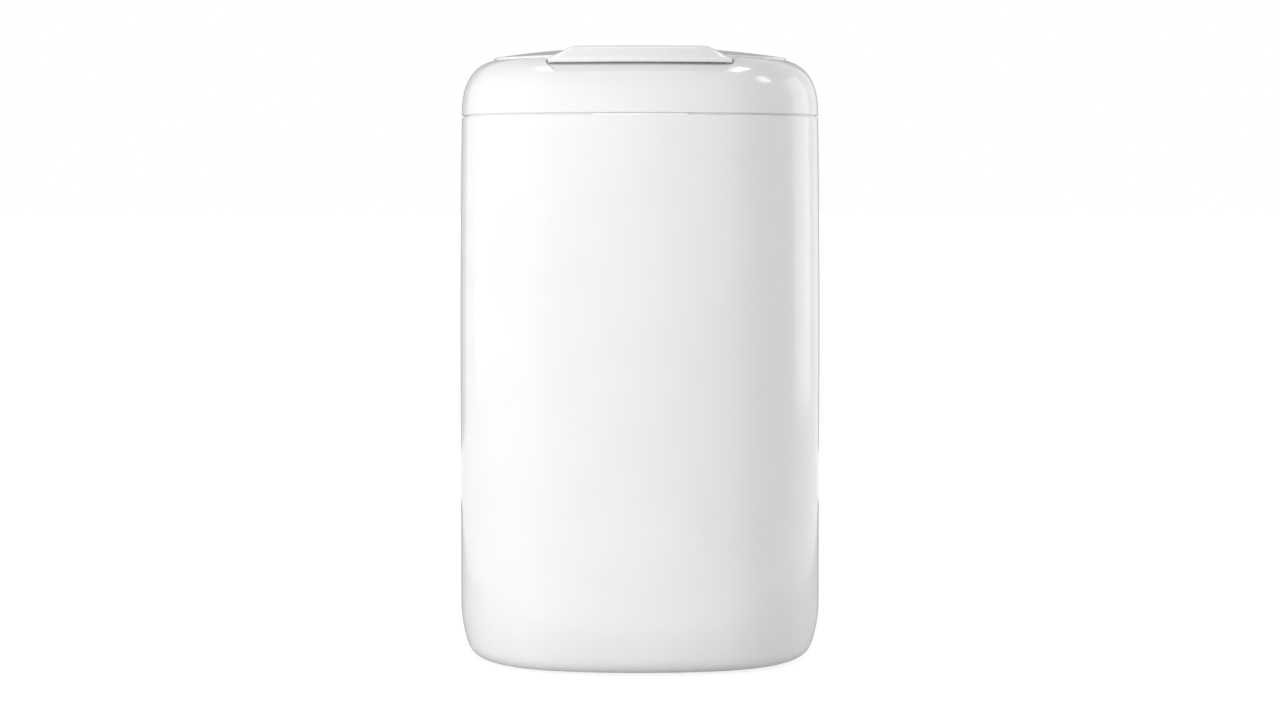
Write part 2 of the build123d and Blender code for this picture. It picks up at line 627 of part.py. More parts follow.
def grip_block(wall):
    """Raised visor at the front of the flap, moved in by a wall thickness and open below if hollow."""
    outer_top = flap_crest() - GRIP_TOP_DROP
    rise = outer_top - GRIP_BOTTOM_HEIGHT
    front_run = (GRIP_TOP_INSET - GRIP_INSET) / rise
    side_run = (GRIP_BOTTOM_HALF_WIDTH - GRIP_TOP_HALF_WIDTH) / rise
    top = outer_top - wall
    bottom = GRIP_BOTTOM_HEIGHT - (OVERRUN if wall else 0.0)

    def front_at(height):
        return GRIP_INSET + (height - GRIP_BOTTOM_HEIGHT) * front_run + wall * hypot(1, front_run)

    def half_at(height):
        return GRIP_BOTTOM_HALF_WIDTH - (height - GRIP_BOTTOM_HEIGHT) * side_run - wall * hypot(1, side_run)

    back, above, under = GRIP_REACH_BACK - wall, top + OVERRUN, bottom - OVERRUN
    profile = [(front_at(under), under), (front_at(above), above), (back, above), (back, under)]
    turned = front_revolve(profile, half_at(bottom) + OVERRUN)
    return turned & front_taper([(half_at(bottom), bottom), (half_at(top), top)], GRIP_CORNER_RADIUS - wall)


def brow_edges(grip):
    """Edges of the grip between its front face and its sides and top."""
    reach = FRONT_RADIUS - GRIP_TOP_INSET - GRIP_BROW_RADIUS
    above_bottom = grip.edges().filter_by(lambda e: e.center().Z > GRIP_BOTTOM_HEIGHT + GRIP_BROW_RADIUS)
    return above_bottom.filter_by(lambda e: hypot(e.center().X, e.center().Y - FRONT_CENTRE_Y) > reach)


def make_flap_shell():
    """Domed flap with a side band, a hollow front grip, landing posts, an underside rib and barrels."""
    below = GRIP_BOTTOM_HEIGHT - OVERRUN
    full = dome(0.0)
    shell = full & plan_prism(FLAP_INSET, FLAP_UNDER_HEIGHT, TOOL_TOP)
    shell = fillet(shell.faces().sort_by(Axis.Z)[-1].edges(), FLAP_EDGE_RISE * FLAP_EDGE_SHARE)
    grip = grip_block(0.0)
    grip = fillet(brow_edges(grip), GRIP_BROW_RADIUS)
    hang, back = GRIP_HANG_INSET, GRIP_REACH_BACK + OVERRUN
    under = [(hang, below), (hang, FLAP_UNDER_HEIGHT), (back, FLAP_UNDER_HEIGHT), (back, below)]
    grip -= front_revolve(under, GRIP_BOTTOM_HALF_WIDTH + OVERRUN)
    shell += grip
    shell -= dome(FLAP_SKIN) & plan_prism(FLAP_INSET + FLAP_SKIN, below, TOOL_TOP)
    shell -= grip_block(FLAP_SKIN) - plan_ring(FLAP_INSET, FLAP_SKIN, below, TOOL_TOP)
    for x, y in bumper_places().values():
        shell += upright(LANDING_RADIUS, FLAP_UNDER_HEIGHT, TOOL_TOP, x, y) & full
    rib_inset = MOUTH_INSET + COVER_CLEARANCE + COVER_RIB_SETBACK
    shell += plan_ring(rib_inset, COVER_RIB_WALL, COVER_HEIGHT, TOOL_TOP) & full
    return hinge_barrels(shell, full)


def hinge_barrels(shell, full):
    """Trims the back of the flap and adds the barrels between the ears, bored for the rod."""
    half = HINGE_HALF + EAR_GAP
    shell -= block((-half, half), (HINGE_Y, REAR_REACH), (WELL_FLOOR_HEIGHT, TOOL_TOP))
    inner = HINGE_HALF - EAR_WIDTH - EAR_GAP
    shell += along_x(BARREL_RADIUS, -inner, inner, HINGE_Y, HINGE_HEIGHT)
    shell += block((-inner, inner), (HINGE_Y - BARREL_RADIUS, HINGE_Y), (HINGE_HEIGHT, TOOL_TOP)) & full
    for middle in ear_places():
        start, end = middle - EAR_WIDTH / 2 - EAR_GAP, middle + EAR_WIDTH / 2 + EAR_GAP
        shell -= along_x(BARREL_RADIUS + EAR_GAP, start, end, HINGE_Y, HINGE_HEIGHT)
    return shell - along_x(ROD_RADIUS, -half, half, HINGE_Y, HINGE_HEIGHT)


def make_flap_cover():
    """Flat plate that closes the underside of the flap inside the mouth."""
    return plan_prism(MOUTH_INSET + COVER_CLEARANCE, COVER_HEIGHT - COVER_THICKNESS, COVER_HEIGHT)


def make_hinge_rod():
    """Steel rod through the barrels and the ears."""
    half = HINGE_HALF - ROD_END_GAP
    rod = along_x(ROD_RADIUS, -half, half, HINGE_Y, HINGE_HEIGHT)
    return chamfer(rod.edges().filter_by(GeomType.CIRCLE), ROD_END_CHAMFER)


def make_parts():
    """Every piece of the bin under its name."""
    parts = {
        "container": make_container(),
        "bag_ring": make_bag_ring(),
        "lid_frame": make_lid_frame(),
        "flap_shell": make_flap_shell(),
        "flap_cover": make_flap_cover(),
        "hinge_rod": make_hinge_rod(),
    }
    parts.update({name: make_foot(x, y) for name, (x, y) in foot_places().items()})
    parts.update({name: make_bumper(x, y) for name, (x, y) in bumper_places().items()})
    return parts


os.makedirs("parts", exist_ok=True)
for part_name, solid in make_parts().items():
    export_step(solid, f"parts/{part_name}.step")
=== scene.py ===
"""Looks of a small washroom waste bin with a lift-off lid frame and a rear-hinged flap.

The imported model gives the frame. The mouldings are made again here as fine smooth meshes from
the same sizes, in millimetres, and every piece is dressed with its own finish.
"""

import logging
import math
from dataclasses import dataclass, field
from enum import Enum
from functools import cache
from typing import Sequence

import bmesh
import bpy
import numpy as np
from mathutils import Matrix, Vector


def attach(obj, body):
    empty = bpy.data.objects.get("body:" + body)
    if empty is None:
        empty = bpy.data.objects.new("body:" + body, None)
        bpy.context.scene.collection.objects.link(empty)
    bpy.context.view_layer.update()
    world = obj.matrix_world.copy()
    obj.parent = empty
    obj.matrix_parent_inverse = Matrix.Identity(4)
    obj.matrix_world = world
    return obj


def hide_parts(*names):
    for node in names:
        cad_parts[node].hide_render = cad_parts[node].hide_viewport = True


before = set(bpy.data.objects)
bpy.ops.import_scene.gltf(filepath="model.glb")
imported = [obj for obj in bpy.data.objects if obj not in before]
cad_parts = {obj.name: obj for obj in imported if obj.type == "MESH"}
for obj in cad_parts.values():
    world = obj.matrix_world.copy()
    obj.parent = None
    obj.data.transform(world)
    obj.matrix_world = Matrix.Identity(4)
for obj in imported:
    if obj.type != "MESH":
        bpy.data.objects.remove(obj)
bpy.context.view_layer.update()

MM = 0.001
WELD = 1e-7
TINY = 1e-9
WHITE = (1.0, 1.0, 1.0, 1.0)
NOISE_MIDDLE = (0.3, 0.7)
CREASE = math.radians(32.0)
LOG = logging.getLogger("waste_bin")

Pair = tuple[float, float]
Row = tuple[float, float, float]
Socket = bpy.types.NodeSocket
Object = bpy.types.Object


class Body(Enum):
    """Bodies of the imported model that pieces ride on."""

    CONTAINER = "container_body"
    BAG_RING = "bag_ring_body"
    LID_FRAME = "lid_frame_body"
    FLAP = "flap_body"


class Slot(Enum):
    """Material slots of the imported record."""

    WHITE_SHELL = "white_shell"
    WHITE_INNER = "white_inner"
    FOOT_RUBBER = "foot_rubber"
    BUMPER_RUBBER = "bumper_rubber"


class Cut(Enum):
    """Ways to join one solid with another."""

    ADD = "UNION"
    REMOVE = "DIFFERENCE"


class Ends(Enum):
    """Ways to end a shell of loops."""

    RING = "the last loop joins the first"
    FACE = "one face fills each end loop"
    LADDER = "quads across each end loop fill it"


def new_object(name: str, data: bpy.types.ID) -> Object:
    """Makes an object and links it to the scene.

    Args:
        name: Name of the object.
        data: Its mesh, light or camera.

    Returns:
        The object.
    """
    made = bpy.data.objects.new(name, data)
    bpy.context.scene.collection.objects.link(made)
    return made


# Finishes


class Nodes:
    """Node tree of a material, a world or a Geometry Nodes group, with short calls to fill it."""

    def __init__(self, tree: bpy.types.NodeTree) -> None:
        """Empties the tree."""
        self.tree = tree
        tree.nodes.clear()

    @staticmethod
    def sockets(node: bpy.types.Node) -> dict[str, Socket]:
        """Inputs of a node by lower-case name, the first one where names repeat."""
        return {socket.name.lower().replace(" ", "_"): socket for socket in reversed(node.inputs)}

    def add(self, kind: str, *inputs: object, **settings: object) -> bpy.types.Node:
        """Adds a node.

        Args:
            kind: Blender's type name of the node.
            inputs: Sockets to link to the first inputs, or their values, in order.
            settings: Properties of the node, and sockets or values for inputs by lower-case name.

        Returns:
            The new node.
        """
        node = self.tree.nodes.new(kind)
        for name in [name for name in settings if name not in self.sockets(node)]:
            setattr(node, name, settings.pop(name))
        named = self.sockets(node)
        by_name = [(named[name], value) for name, value in settings.items()]
        for socket, value in (*zip(node.inputs, inputs), *by_name):
            if isinstance(value, Socket):
                self.tree.links.new(value, socket)
            else:
                socket.default_value = value
        return node

    def math(self, kind: str, *inputs: object) -> Socket:
        """Adds a math node on sockets or numbers, and gives its result."""
        return self.add("ShaderNodeMath", *inputs, operation=kind).outputs[0]

    def mix(self, factor: Socket, first: Socket, second: Socket) -> Socket:
        """Adds a mix of two shaders by a factor, and gives its result."""
        return self.add("ShaderNodeMixShader", factor, first, second).outputs[0]

    def noise(self, scale: float, detail: float, stretch: Row) -> Socket:
        """Adds a noise texture on Object coordinates.

        Args:
            scale: Scale of the noise, per metre.
            detail: Octaves of finer noise.
            stretch: Scale along each axis.

        Returns:
            The texture's factor output.
        """
        place = self.add("ShaderNodeTexCoord").outputs["Object"]
        mapping = self.add("ShaderNodeMapping", vector=place, scale=stretch).outputs["Vector"]
        return self.add("ShaderNodeTexNoise", vector=mapping, scale=scale, detail=detail).outputs["Fac"]

    def ranged(self, value: Socket, low: float, high: float) -> Socket:
        """Maps the middle of a noise to a range.

        Args:
            value: Factor between 0 and 1.
            low: Result at the middle's start.
            high: Result at the middle's end.

        Returns:
            The mapped output.
        """
        start, end = NOISE_MIDDLE
        spans = {"from_min": start, "from_max": end, "to_min": low, "to_max": high}
        return self.add("ShaderNodeMapRange", value, **spans).outputs["Result"]

    def mixed_colour(self, value: Socket, colours: tuple[Row, Row]) -> Socket:
        """Blends two colours over the middle of a noise.

        Args:
            value: Factor between 0 and 1.
            colours: First and last colour, linear.

        Returns:
            The colour output.
        """
        ramp = self.add("ShaderNodeValToRGB", value)
        for stop, place, colour in zip(ramp.color_ramp.elements, NOISE_MIDDLE, colours):
            stop.position, stop.color = place, (*colour, 1.0)
        return ramp.outputs["Color"]


@dataclass(frozen=True)
class Finish:
    """Moulded, rubbed or drawn surface: two close colours, a range of roughness and a fine relief."""

    name: str
    colours: tuple[Row, Row]
    colour_scale: float
    roughness: Pair
    roughness_scale: float
    relief_scale: float
    relief_strength: float
    relief_depth: float = 0.0001
    stretch: Row = (1.0, 1.0, 1.0)
    ior: float = 1.5
    metallic: float = 0.0

    @cache
    def material(self) -> bpy.types.Material:
        """Builds the material once.

        Returns:
            The material.
        """
        made = bpy.data.materials.new(self.name)
        made.use_nodes = True
        nodes = Nodes(made.node_tree)
        scales = ((self.colour_scale, 3.0), (self.roughness_scale, 4.0), (self.relief_scale, 2.0))
        tint, wear, grain = (nodes.noise(scale, detail, self.stretch) for scale, detail in scales)
        strength, depth = self.relief_strength, self.relief_depth
        bump = nodes.add("ShaderNodeBump", height=grain, strength=strength, distance=depth)
        shader = nodes.add(
            "ShaderNodeBsdfPrincipled",
            base_color=nodes.mixed_colour(tint, self.colours),
            roughness=nodes.ranged(wear, *self.roughness),
            metallic=self.metallic,
            ior=self.ior,
            normal=bump.outputs["Normal"],
        )
        nodes.add("ShaderNodeOutputMaterial", surface=shader.outputs["BSDF"])
        return made


GLOSS_WHITE = Finish(
    name="gloss_white_plastic",
    colours=((0.86, 0.86, 0.862), (0.885, 0.885, 0.885)),
    colour_scale=22.0,
    roughness=(0.09, 0.13),
    roughness_scale=60.0,
    relief_scale=320.0,
    relief_strength=0.04,
)
SATIN_WHITE = Finish(
    name="satin_white_plastic",
    colours=((0.74, 0.74, 0.74), (0.79, 0.79, 0.785)),
    colour_scale=30.0,
    roughness=(0.38, 0.5),
    roughness_scale=90.0,
    relief_scale=1400.0,
    relief_strength=0.15,
)
DARK_RUBBER = Finish(
    name="dark_grey_rubber",
    colours=((0.035, 0.035, 0.037), (0.055, 0.055, 0.056)),
    colour_scale=160.0,
    roughness=(0.68, 0.85),
    roughness_scale=400.0,
    relief_scale=2600.0,
    relief_strength=0.35,
)
LIGHT_RUBBER = Finish(
    name="light_grey_rubber",
    colours=((0.32, 0.32, 0.32), (0.37, 0.37, 0.365)),
    colour_scale=220.0,
    roughness=(0.55, 0.7),
    roughness_scale=500.0,
    relief_scale=3000.0,
    relief_strength=0.25,
)
DRAWN_STEEL = Finish(
    name="drawn_steel_wire",
    colours=((0.52, 0.52, 0.53), (0.62, 0.62, 0.62)),
    colour_scale=500.0,
    roughness=(0.2, 0.34),
    roughness_scale=900.0,
    relief_scale=1200.0,
    relief_strength=0.2,
    stretch=(0.04, 1.0, 1.0),
    metallic=1.0,
)


# Shapes shared by the pieces


@dataclass(frozen=True)
class Arc:
    """Arc of the plan outline."""

    centre: Pair
    radius: float
    start: float
    end: float


@dataclass(frozen=True)
class Plan:
    """Outline of the bin seen from above: tangent arcs mirrored left to right, with a flat back."""

    width: float = 190.0
    front_reach: float = 80.0
    rear_reach: float = 80.0
    front_radius: float = 165.0
    corner_radius: float = 68.0
    side_radius: float = 125.0
    rear_radius: float = 38.0
    longest_step: float = 1.4

    @property
    def front_centre_y(self) -> float:
        """Depth of the front arc's centre."""
        return self.front_radius - self.front_reach

    @property
    def side_centre_x(self) -> float:
        """Place across of the right side arc's centre."""
        return self.width / 2 - self.side_radius

    @property
    def flat_half(self) -> float:
        """Half of the length of the flat back."""
        deep = self.rear_reach - self.rear_radius
        return self.side_centre_x + math.sqrt((self.side_radius - self.rear_radius) ** 2 - deep**2)

    def corner_centre(self) -> Pair:
        """Finds the centre of the front right corner arc, tangent to the front and the side.

        Returns:
            The centre across and in depth.
        """
        first, second = (0.0, self.front_centre_y), (self.side_centre_x, 0.0)
        first_radius = self.front_radius - self.corner_radius
        second_radius = self.side_radius - self.corner_radius
        gap = math.dist(first, second)
        along = (first_radius**2 - second_radius**2 + gap**2) / (2 * gap)
        aside = math.sqrt(first_radius**2 - along**2)
        x, y = (second[0] - first[0]) / gap, (second[1] - first[1]) / gap
        both = []
        for off in (-aside, aside):
            both.append((first[0] + along * x - off * y, first[1] + along * y + off * x))
        return max(both, key=lambda point: point[0] - point[1])

    def arcs(self) -> list[Arc]:
        """Lists the right-hand arcs from the middle of the front to the flat back.

        Returns:
            The four arcs.
        """
        front, side = (0.0, self.front_centre_y), (self.side_centre_x, 0.0)
        corner, rear = self.corner_centre(), (self.flat_half, self.rear_reach - self.rear_radius)
        front_turn = math.atan2(corner[1] - front[1], corner[0])
        side_turn = math.atan2(corner[1], corner[0] - side[0])
        rear_turn = math.atan2(rear[1], rear[0] - side[0])
        return [
            Arc(front, self.front_radius, -math.pi / 2, front_turn),
            Arc(corner, self.corner_radius, front_turn, side_turn),
            Arc(side, self.side_radius, side_turn, rear_turn),
            Arc(rear, self.rear_radius, rear_turn, math.pi / 2),
        ]

    def stations(self, spacing: float, fine: Row | None = None) -> np.ndarray:
        """Walks once round the outline, anticlockwise from the middle of the front.

        Args:
            spacing: Distance between stations.
            fine: A closer distance, with the first and last place across at the front where it holds.

        Returns:
            Rows of place across, depth, and the outward direction.
        """
        right: list[tuple[float, ...]] = []
        for arc in self.arcs():
            turn = arc.start
            while turn < arc.end - TINY:
                x, y = math.cos(turn), math.sin(turn)
                right.append((arc.centre[0] + arc.radius * x, arc.centre[1] + arc.radius * y, x, y))
                close = fine and fine[1] < right[-1][0] < fine[2] and right[-1][1] < 0
                step = (fine[0] if close else spacing) / arc.radius
                turn = arc.end if turn + self.longest_step * step > arc.end else turn + step
        count = max(2, round(self.flat_half / spacing))
        right += [(self.flat_half * (1 - k / count), self.rear_reach, 0.0, 1.0) for k in range(count + 1)]
        left = [(-x, y, -dx, dy) for x, y, dx, dy in right[-2:0:-1]]
        return np.array(right + left)

    def front_depth(self, inset: float | np.ndarray, x: np.ndarray) -> np.ndarray:
        """Depth of the front arc, moved in by an inset, at places across."""
        return self.front_centre_y - np.sqrt((self.front_radius - inset) ** 2 - x**2)

    def side_across(self, inset: float, y: np.ndarray) -> np.ndarray:
        """Place across of the right side arc, moved in by an inset, at depths."""
        return self.side_centre_x + np.sqrt((self.side_radius - inset) ** 2 - y**2)


PLAN = Plan()


def outline(stations: np.ndarray, inset: float) -> np.ndarray:
    """Plan points at the stations, moved in by an inset."""
    return stations[:, :2] - inset * stations[:, 2:]


def at_height(plan: np.ndarray, height: float | np.ndarray) -> np.ndarray:
    """Plan points raised to one height, or to a height each."""
    return np.column_stack((plan, np.broadcast_to(height, len(plan))))


def carried(stations: np.ndarray, insets: np.ndarray, heights: np.ndarray) -> np.ndarray:
    """Points round the plan, of insets and heights by station and by place along the section."""
    place = stations[:, None, :2] - insets[:, :, None] * stations[:, None, 2:]
    return np.concatenate((place, np.broadcast_to(heights[:, :, None], (*place.shape[:2], 1))), axis=2)


def full_turn(steps: int) -> np.ndarray:
    """Turns of the corners of a faceted circle."""
    return np.linspace(0, 2 * math.pi, steps, endpoint=False)


def on_circle(radius: float, turns: np.ndarray) -> np.ndarray:
    """Points at turns on a circle about the origin."""
    return radius * np.column_stack((np.cos(turns), np.sin(turns)))


def rounded(corners: Sequence[Row], closed: bool = False, steps: int = 5) -> np.ndarray:
    """Rounds the corners of a cross-section.

    Args:
        corners: Corners of inset, height and radius, in order.
        closed: Whether the last corner joins the first.
        steps: Facets of each rounding.

    Returns:
        Rows of inset and height.
    """
    count = len(corners)
    points: list[np.ndarray] = []
    for k, (inset, height, radius) in enumerate(corners):
        corner = np.array((inset, height))
        if radius <= 0 or (not closed and k in (0, count - 1)):
            points.append(corner)
            continue
        back = np.array(corners[k - 1][:2]) - corner
        ahead = np.array(corners[(k + 1) % count][:2]) - corner
        back, ahead = back / np.linalg.norm(back), ahead / np.linalg.norm(ahead)
        half = math.acos(float(np.clip(back @ ahead, -1, 1))) / 2
        middle = corner + (back + ahead) / np.linalg.norm(back + ahead) * radius / math.sin(half)
        first = corner + back * radius / math.tan(half) - middle
        last = corner + ahead * radius / math.tan(half) - middle
        turn = math.pi - 2 * half
        for share in np.linspace(0, 1, steps + 1):
            mix = math.sin((1 - share) * turn) * first + math.sin(share * turn) * last
            points.append(middle + mix / math.sin(turn))
    return np.array(points)


def soft_min(first: np.ndarray, second: np.ndarray, blend: float | np.ndarray) -> np.ndarray:
    """Lower of two heights, with the edge between them rounded."""
    near = np.maximum(blend - np.abs(first - second), 0.0) / blend
    return np.minimum(first, second) - near**2 * blend / 4


def soft_max(first: np.ndarray, second: np.ndarray, blend: float | np.ndarray) -> np.ndarray:
    """Higher of two heights, with the corner between them rounded."""
    return -soft_min(-first, -second, blend)


class Mesher:
    """Collects shells of points in millimetres and faces, and makes them one object."""

    def __init__(self) -> None:
        """Starts empty."""
        self.points: list[np.ndarray] = []
        self.faces: list[tuple[int, ...]] = []

    def shell(self, loops: np.ndarray, ends: Ends = Ends.FACE) -> None:
        """Adds a shell of quads between closed loops.

        Args:
            loops: Array of loops, points round each loop, and three places.
            ends: How the first and last loops are closed.
        """
        count, size = loops.shape[:2]
        start, last = sum(map(len, self.points)), (count - 1) * size
        faces: list[tuple[int, ...]] = []
        for i in range(count if ends is Ends.RING else count - 1):
            near, far = i * size, (i + 1) % count * size
            faces += [(near + j, near + (j + 1) % size, far + (j + 1) % size, far + j) for j in range(size)]
        for first in (0, last):
            if ends is Ends.FACE:
                faces.append(tuple(range(first, first + size)))
            elif ends is Ends.LADDER:
                other = first + size - 1
                rungs = range(size // 2 - 1)
                faces += [(first + k, first + k + 1, other - k - 1, other - k) for k in rungs]
        self.faces += [tuple(start + corner for corner in face) for face in faces]
        self.points.append(loops.reshape(-1, 3))

    def prism(self, plan: np.ndarray, bottom: float, top: float) -> None:
        """Adds an upright prism on rows of place across and depth."""
        self.shell(np.array([at_height(plan, height) for height in (bottom, top)]))

    def bar(self, section: np.ndarray, start: float, end: float) -> None:
        """Adds a bar across the bin, with a section of depth and height."""
        self.shell(np.array([np.column_stack((np.full(len(section), x), section)) for x in (start, end)]))

    def turned(self, profile: np.ndarray, x: float, y: float, steps: int, lying: bool = False) -> None:
        """Adds a closed turned solid.

        Args:
            profile: Rows of radius and height, or radius and depth if lying, both ends off the axis.
            x: Place across of the axis.
            y: Depth of the axis, or its height if lying.
            steps: Facets round the axis.
            lying: Whether the axis runs from front to back.
        """
        turns = full_turn(steps)
        across = x + profile[:, :1] * np.cos(turns)
        aside = y + profile[:, :1] * np.sin(turns)
        run = np.broadcast_to(profile[:, 1:], across.shape)
        self.shell(np.stack((across, run, aside) if lying else (across, aside, run), axis=2))

    def cylinder(self, radius: float, ends: Pair, place: Pair, steps: int, lying: bool = False) -> None:
        """Adds a plain turned solid between two heights, or between two depths if lying."""
        self.turned(np.array([(radius, end) for end in ends]), *place, steps, lying)

    def solid(self, name: str) -> Object:
        """Makes the object, with doubles merged and faces outwards.

        Args:
            name: Name of the object.

        Returns:
            The object, linked to the scene.
        """
        mesh = bpy.data.meshes.new(name)
        mesh.from_pydata((np.vstack(self.points) * MM).tolist(), [], self.faces)
        made = new_object(name, mesh)
        face_outwards(made)
        return made


def face_outwards(piece: Object) -> None:
    """Merges doubles, closes open loops and turns the faces outwards.

    Args:
        piece: Mesh object to mend.
    """
    work = bmesh.new()
    work.from_mesh(piece.data)
    bmesh.ops.remove_doubles(work, verts=work.verts, dist=WELD)
    bmesh.ops.dissolve_degenerate(work, edges=work.edges, dist=WELD)
    open_edges = [edge for edge in work.edges if edge.is_boundary]
    if open_edges:
        bmesh.ops.holes_fill(work, edges=open_edges, sides=0)
    bmesh.ops.recalc_face_normals(work, faces=work.faces)
    work.to_mesh(piece.data)
    work.free()


def plain_mesh(piece: Object) -> None:
    """Turns the result of the object's modifiers into its plain mesh.

    Args:
        piece: Object with live modifiers.
    """
    graph = bpy.context.evaluated_depsgraph_get()
    graph.update()
    mesh = bpy.data.meshes.new_from_object(piece.evaluated_get(graph))
    old = piece.data
    piece.modifiers.clear()
    piece.data = mesh
    if old.users == 0:
        bpy.data.meshes.remove(old)


def join(piece: Object, tool: Mesher, way: Cut) -> None:
    """Adds a solid to a piece or removes it.

    Args:
        piece: Object that is changed.
        tool: Shells of the other solid, clear of each other.
        way: Whether the solid is added or removed.
    """
    other = tool.solid("tool")
    cut = piece.modifiers.new("cut", "BOOLEAN")
    cut.operation, cut.solver, cut.object = way.value, "MANIFOLD", other
    plain_mesh(piece)
    bpy.data.objects.remove(other)


def dress(piece: Object, finish: Finish, body: Body, nodes: Sequence[str]) -> None:
    """Gives a finished piece its finish, its body and the nodes that it stands for.

    Args:
        piece: Finished mesh object at the origin.
        finish: Finish of its whole surface.
        body: Body that it rides on.
        nodes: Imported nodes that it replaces.
    """
    mesh = piece.data
    mesh.materials.clear()
    mesh.materials.append(finish.material())
    mesh.polygons.foreach_set("material_index", [0] * len(mesh.polygons))
    mesh.shade_smooth()
    mesh.set_sharp_from_angle(angle=CREASE)
    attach(piece, body.value)
    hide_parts(*nodes)
    LOG.info("%s: %d faces on %s, replaces %s", piece.name, len(mesh.polygons), body.value, ", ".join(nodes))


def dress_node(name: str, finish: Finish) -> None:
    """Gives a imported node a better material.

    Args:
        name: Name of the node.
        finish: Finish of its whole surface.
    """
    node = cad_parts[name]
    if not node.material_slots:
        node.data.materials.append(finish.material())
    for slot in node.material_slots:
        slot.material = finish.material()
    LOG.info("%s: packed mesh, %s", name, finish.name)


# Geometry Nodes trees


class Recipe(Nodes):
    """Geometry Nodes tree with named inputs, one of them its finish."""

    def __init__(self, name: str, inputs: Sequence[tuple[str, str, object]]) -> None:
        """Starts the tree.

        Args:
            name: Name of the tree.
            inputs: Name, socket type and default value of each input but the finish.
        """
        super().__init__(bpy.data.node_groups.new(name, "GeometryNodeTree"))
        for label, kind, value in (*inputs, ("Finish", "NodeSocketMaterial", None)):
            socket = self.tree.interface.new_socket(label, in_out="INPUT", socket_type=kind)
            if value is not None:
                socket.default_value = value
        self.tree.interface.new_socket("Geometry", in_out="OUTPUT", socket_type="NodeSocketGeometry")
        self.given = self.add("NodeGroupInput").outputs

    def source(self, label: str) -> Socket:
        """Adds the geometry of an input object."""
        return self.add("GeometryNodeObjectInfo", object=self.given[label]).outputs["Geometry"]

    def finish(self, geometry: Socket) -> bpy.types.NodeTree:
        """Ends the tree with Realize Instances and Set Material.

        Args:
            geometry: Geometry to end with.

        Returns:
            The finished tree.
        """
        real = self.add("GeometryNodeRealizeInstances", geometry).outputs[0]
        paint = self.add("GeometryNodeSetMaterial", geometry=real, material=self.given["Finish"])
        self.add("NodeGroupOutput", paint.outputs[0])
        return self.tree


@cache
def carried_round_plan() -> bpy.types.NodeTree:
    """Builds the tree that carries a profile of inset and height round the plan outline.

    Returns:
        The tree, with a grid whose points are looked up on the plan and on the profile.
    """
    nodes = Recipe(
        "carried_round_plan",
        (
            ("Plan", "NodeSocketObject", None),
            ("Profile", "NodeSocketObject", None),
            ("Extra Inset", "NodeSocketFloat", 0.0),
            ("Rise", "NodeSocketFloat", 0.0),
            ("Weld Distance", "NodeSocketFloat", WELD),
        ),
    )

    on_points = {"data_type": "FLOAT_VECTOR", "domain": "POINT"}

    def looked_up(shape: Socket, value: Socket, index: Socket) -> Socket:
        """Adds a look-up of a vector on another geometry's points."""
        sample = nodes.add("GeometryNodeSampleIndex", shape, value=value, index=index, **on_points)
        return sample.outputs["Value"]

    def vector(kind: str, first: Socket, second: Socket) -> Socket:
        """Adds a sum or difference of two vectors."""
        return nodes.add("ShaderNodeVectorMath", first, second, operation=kind).outputs[0]

    plan, profile = nodes.source("Plan"), nodes.source("Profile")
    plan_count, profile_count = (
        nodes.add("GeometryNodeAttributeDomainSize", shape).outputs["Point Count"]
        for shape in (plan, profile)
    )
    columns = nodes.math("ADD", plan_count, 1.0)
    grid = nodes.add("GeometryNodeMeshGrid", vertices_x=columns, vertices_y=profile_count).outputs["Mesh"]
    index = nodes.add("GeometryNodeInputIndex").outputs[0]
    station = nodes.math("FLOOR", nodes.math("DIVIDE", nodes.math("ADD", index, 0.5), profile_count))
    station = nodes.math("MODULO", station, plan_count)
    position = nodes.add("GeometryNodeInputPosition").outputs[0]
    outward = nodes.add("GeometryNodeInputNamedAttribute", name="outward", data_type="FLOAT_VECTOR")
    direction = looked_up(plan, outward.outputs["Attribute"], station)
    row = looked_up(profile, position, nodes.math("MODULO", index, profile_count))
    parts = nodes.add("ShaderNodeSeparateXYZ", row).outputs
    inset = nodes.math("ADD", parts["X"], nodes.given["Extra Inset"])
    shift = nodes.add("ShaderNodeVectorMath", direction, scale=inset, operation="SCALE").outputs[0]
    rise = nodes.add("ShaderNodeCombineXYZ", z=nodes.math("ADD", parts["Z"], nodes.given["Rise"])).outputs[0]
    place = vector("ADD", vector("SUBTRACT", looked_up(plan, position, station), shift), rise)
    moved = nodes.add("GeometryNodeSetPosition", geometry=grid, position=place).outputs[0]
    weld = nodes.add("GeometryNodeMergeByDistance", geometry=moved, distance=nodes.given["Weld Distance"])
    return nodes.finish(weld.outputs[0])


@cache
def copies_at_places() -> bpy.types.NodeTree:
    """Builds the tree that sets a pattern at every point of a mesh.

    Returns:
        The tree.
    """
    nodes = Recipe(
        "copies_at_places",
        (
            ("Places", "NodeSocketGeometry", None),
            ("Pattern", "NodeSocketObject", None),
            ("Size", "NodeSocketFloat", 1.0),
        ),
    )
    places, size = nodes.given["Places"], nodes.given["Size"]
    pattern = nodes.source("Pattern")
    copies = nodes.add("GeometryNodeInstanceOnPoints", points=places, instance=pattern, scale=size)
    return nodes.finish(copies.outputs[0])


def points_object(name: str, points: np.ndarray, outward: np.ndarray | None = None) -> Object:
    """Makes a mesh of loose points in metres.

    Args:
        name: Name of the object.
        points: Rows of three places in millimetres.
        outward: Optional direction of each point.

    Returns:
        The object, linked to the scene.
    """
    mesh = bpy.data.meshes.new(name)
    mesh.from_pydata((points * MM).tolist(), [], [])
    if outward is not None:
        attribute = mesh.attributes.new("outward", "FLOAT_VECTOR", "POINT")
        attribute.data.foreach_set("vector", outward.ravel())
    return new_object(name, mesh)


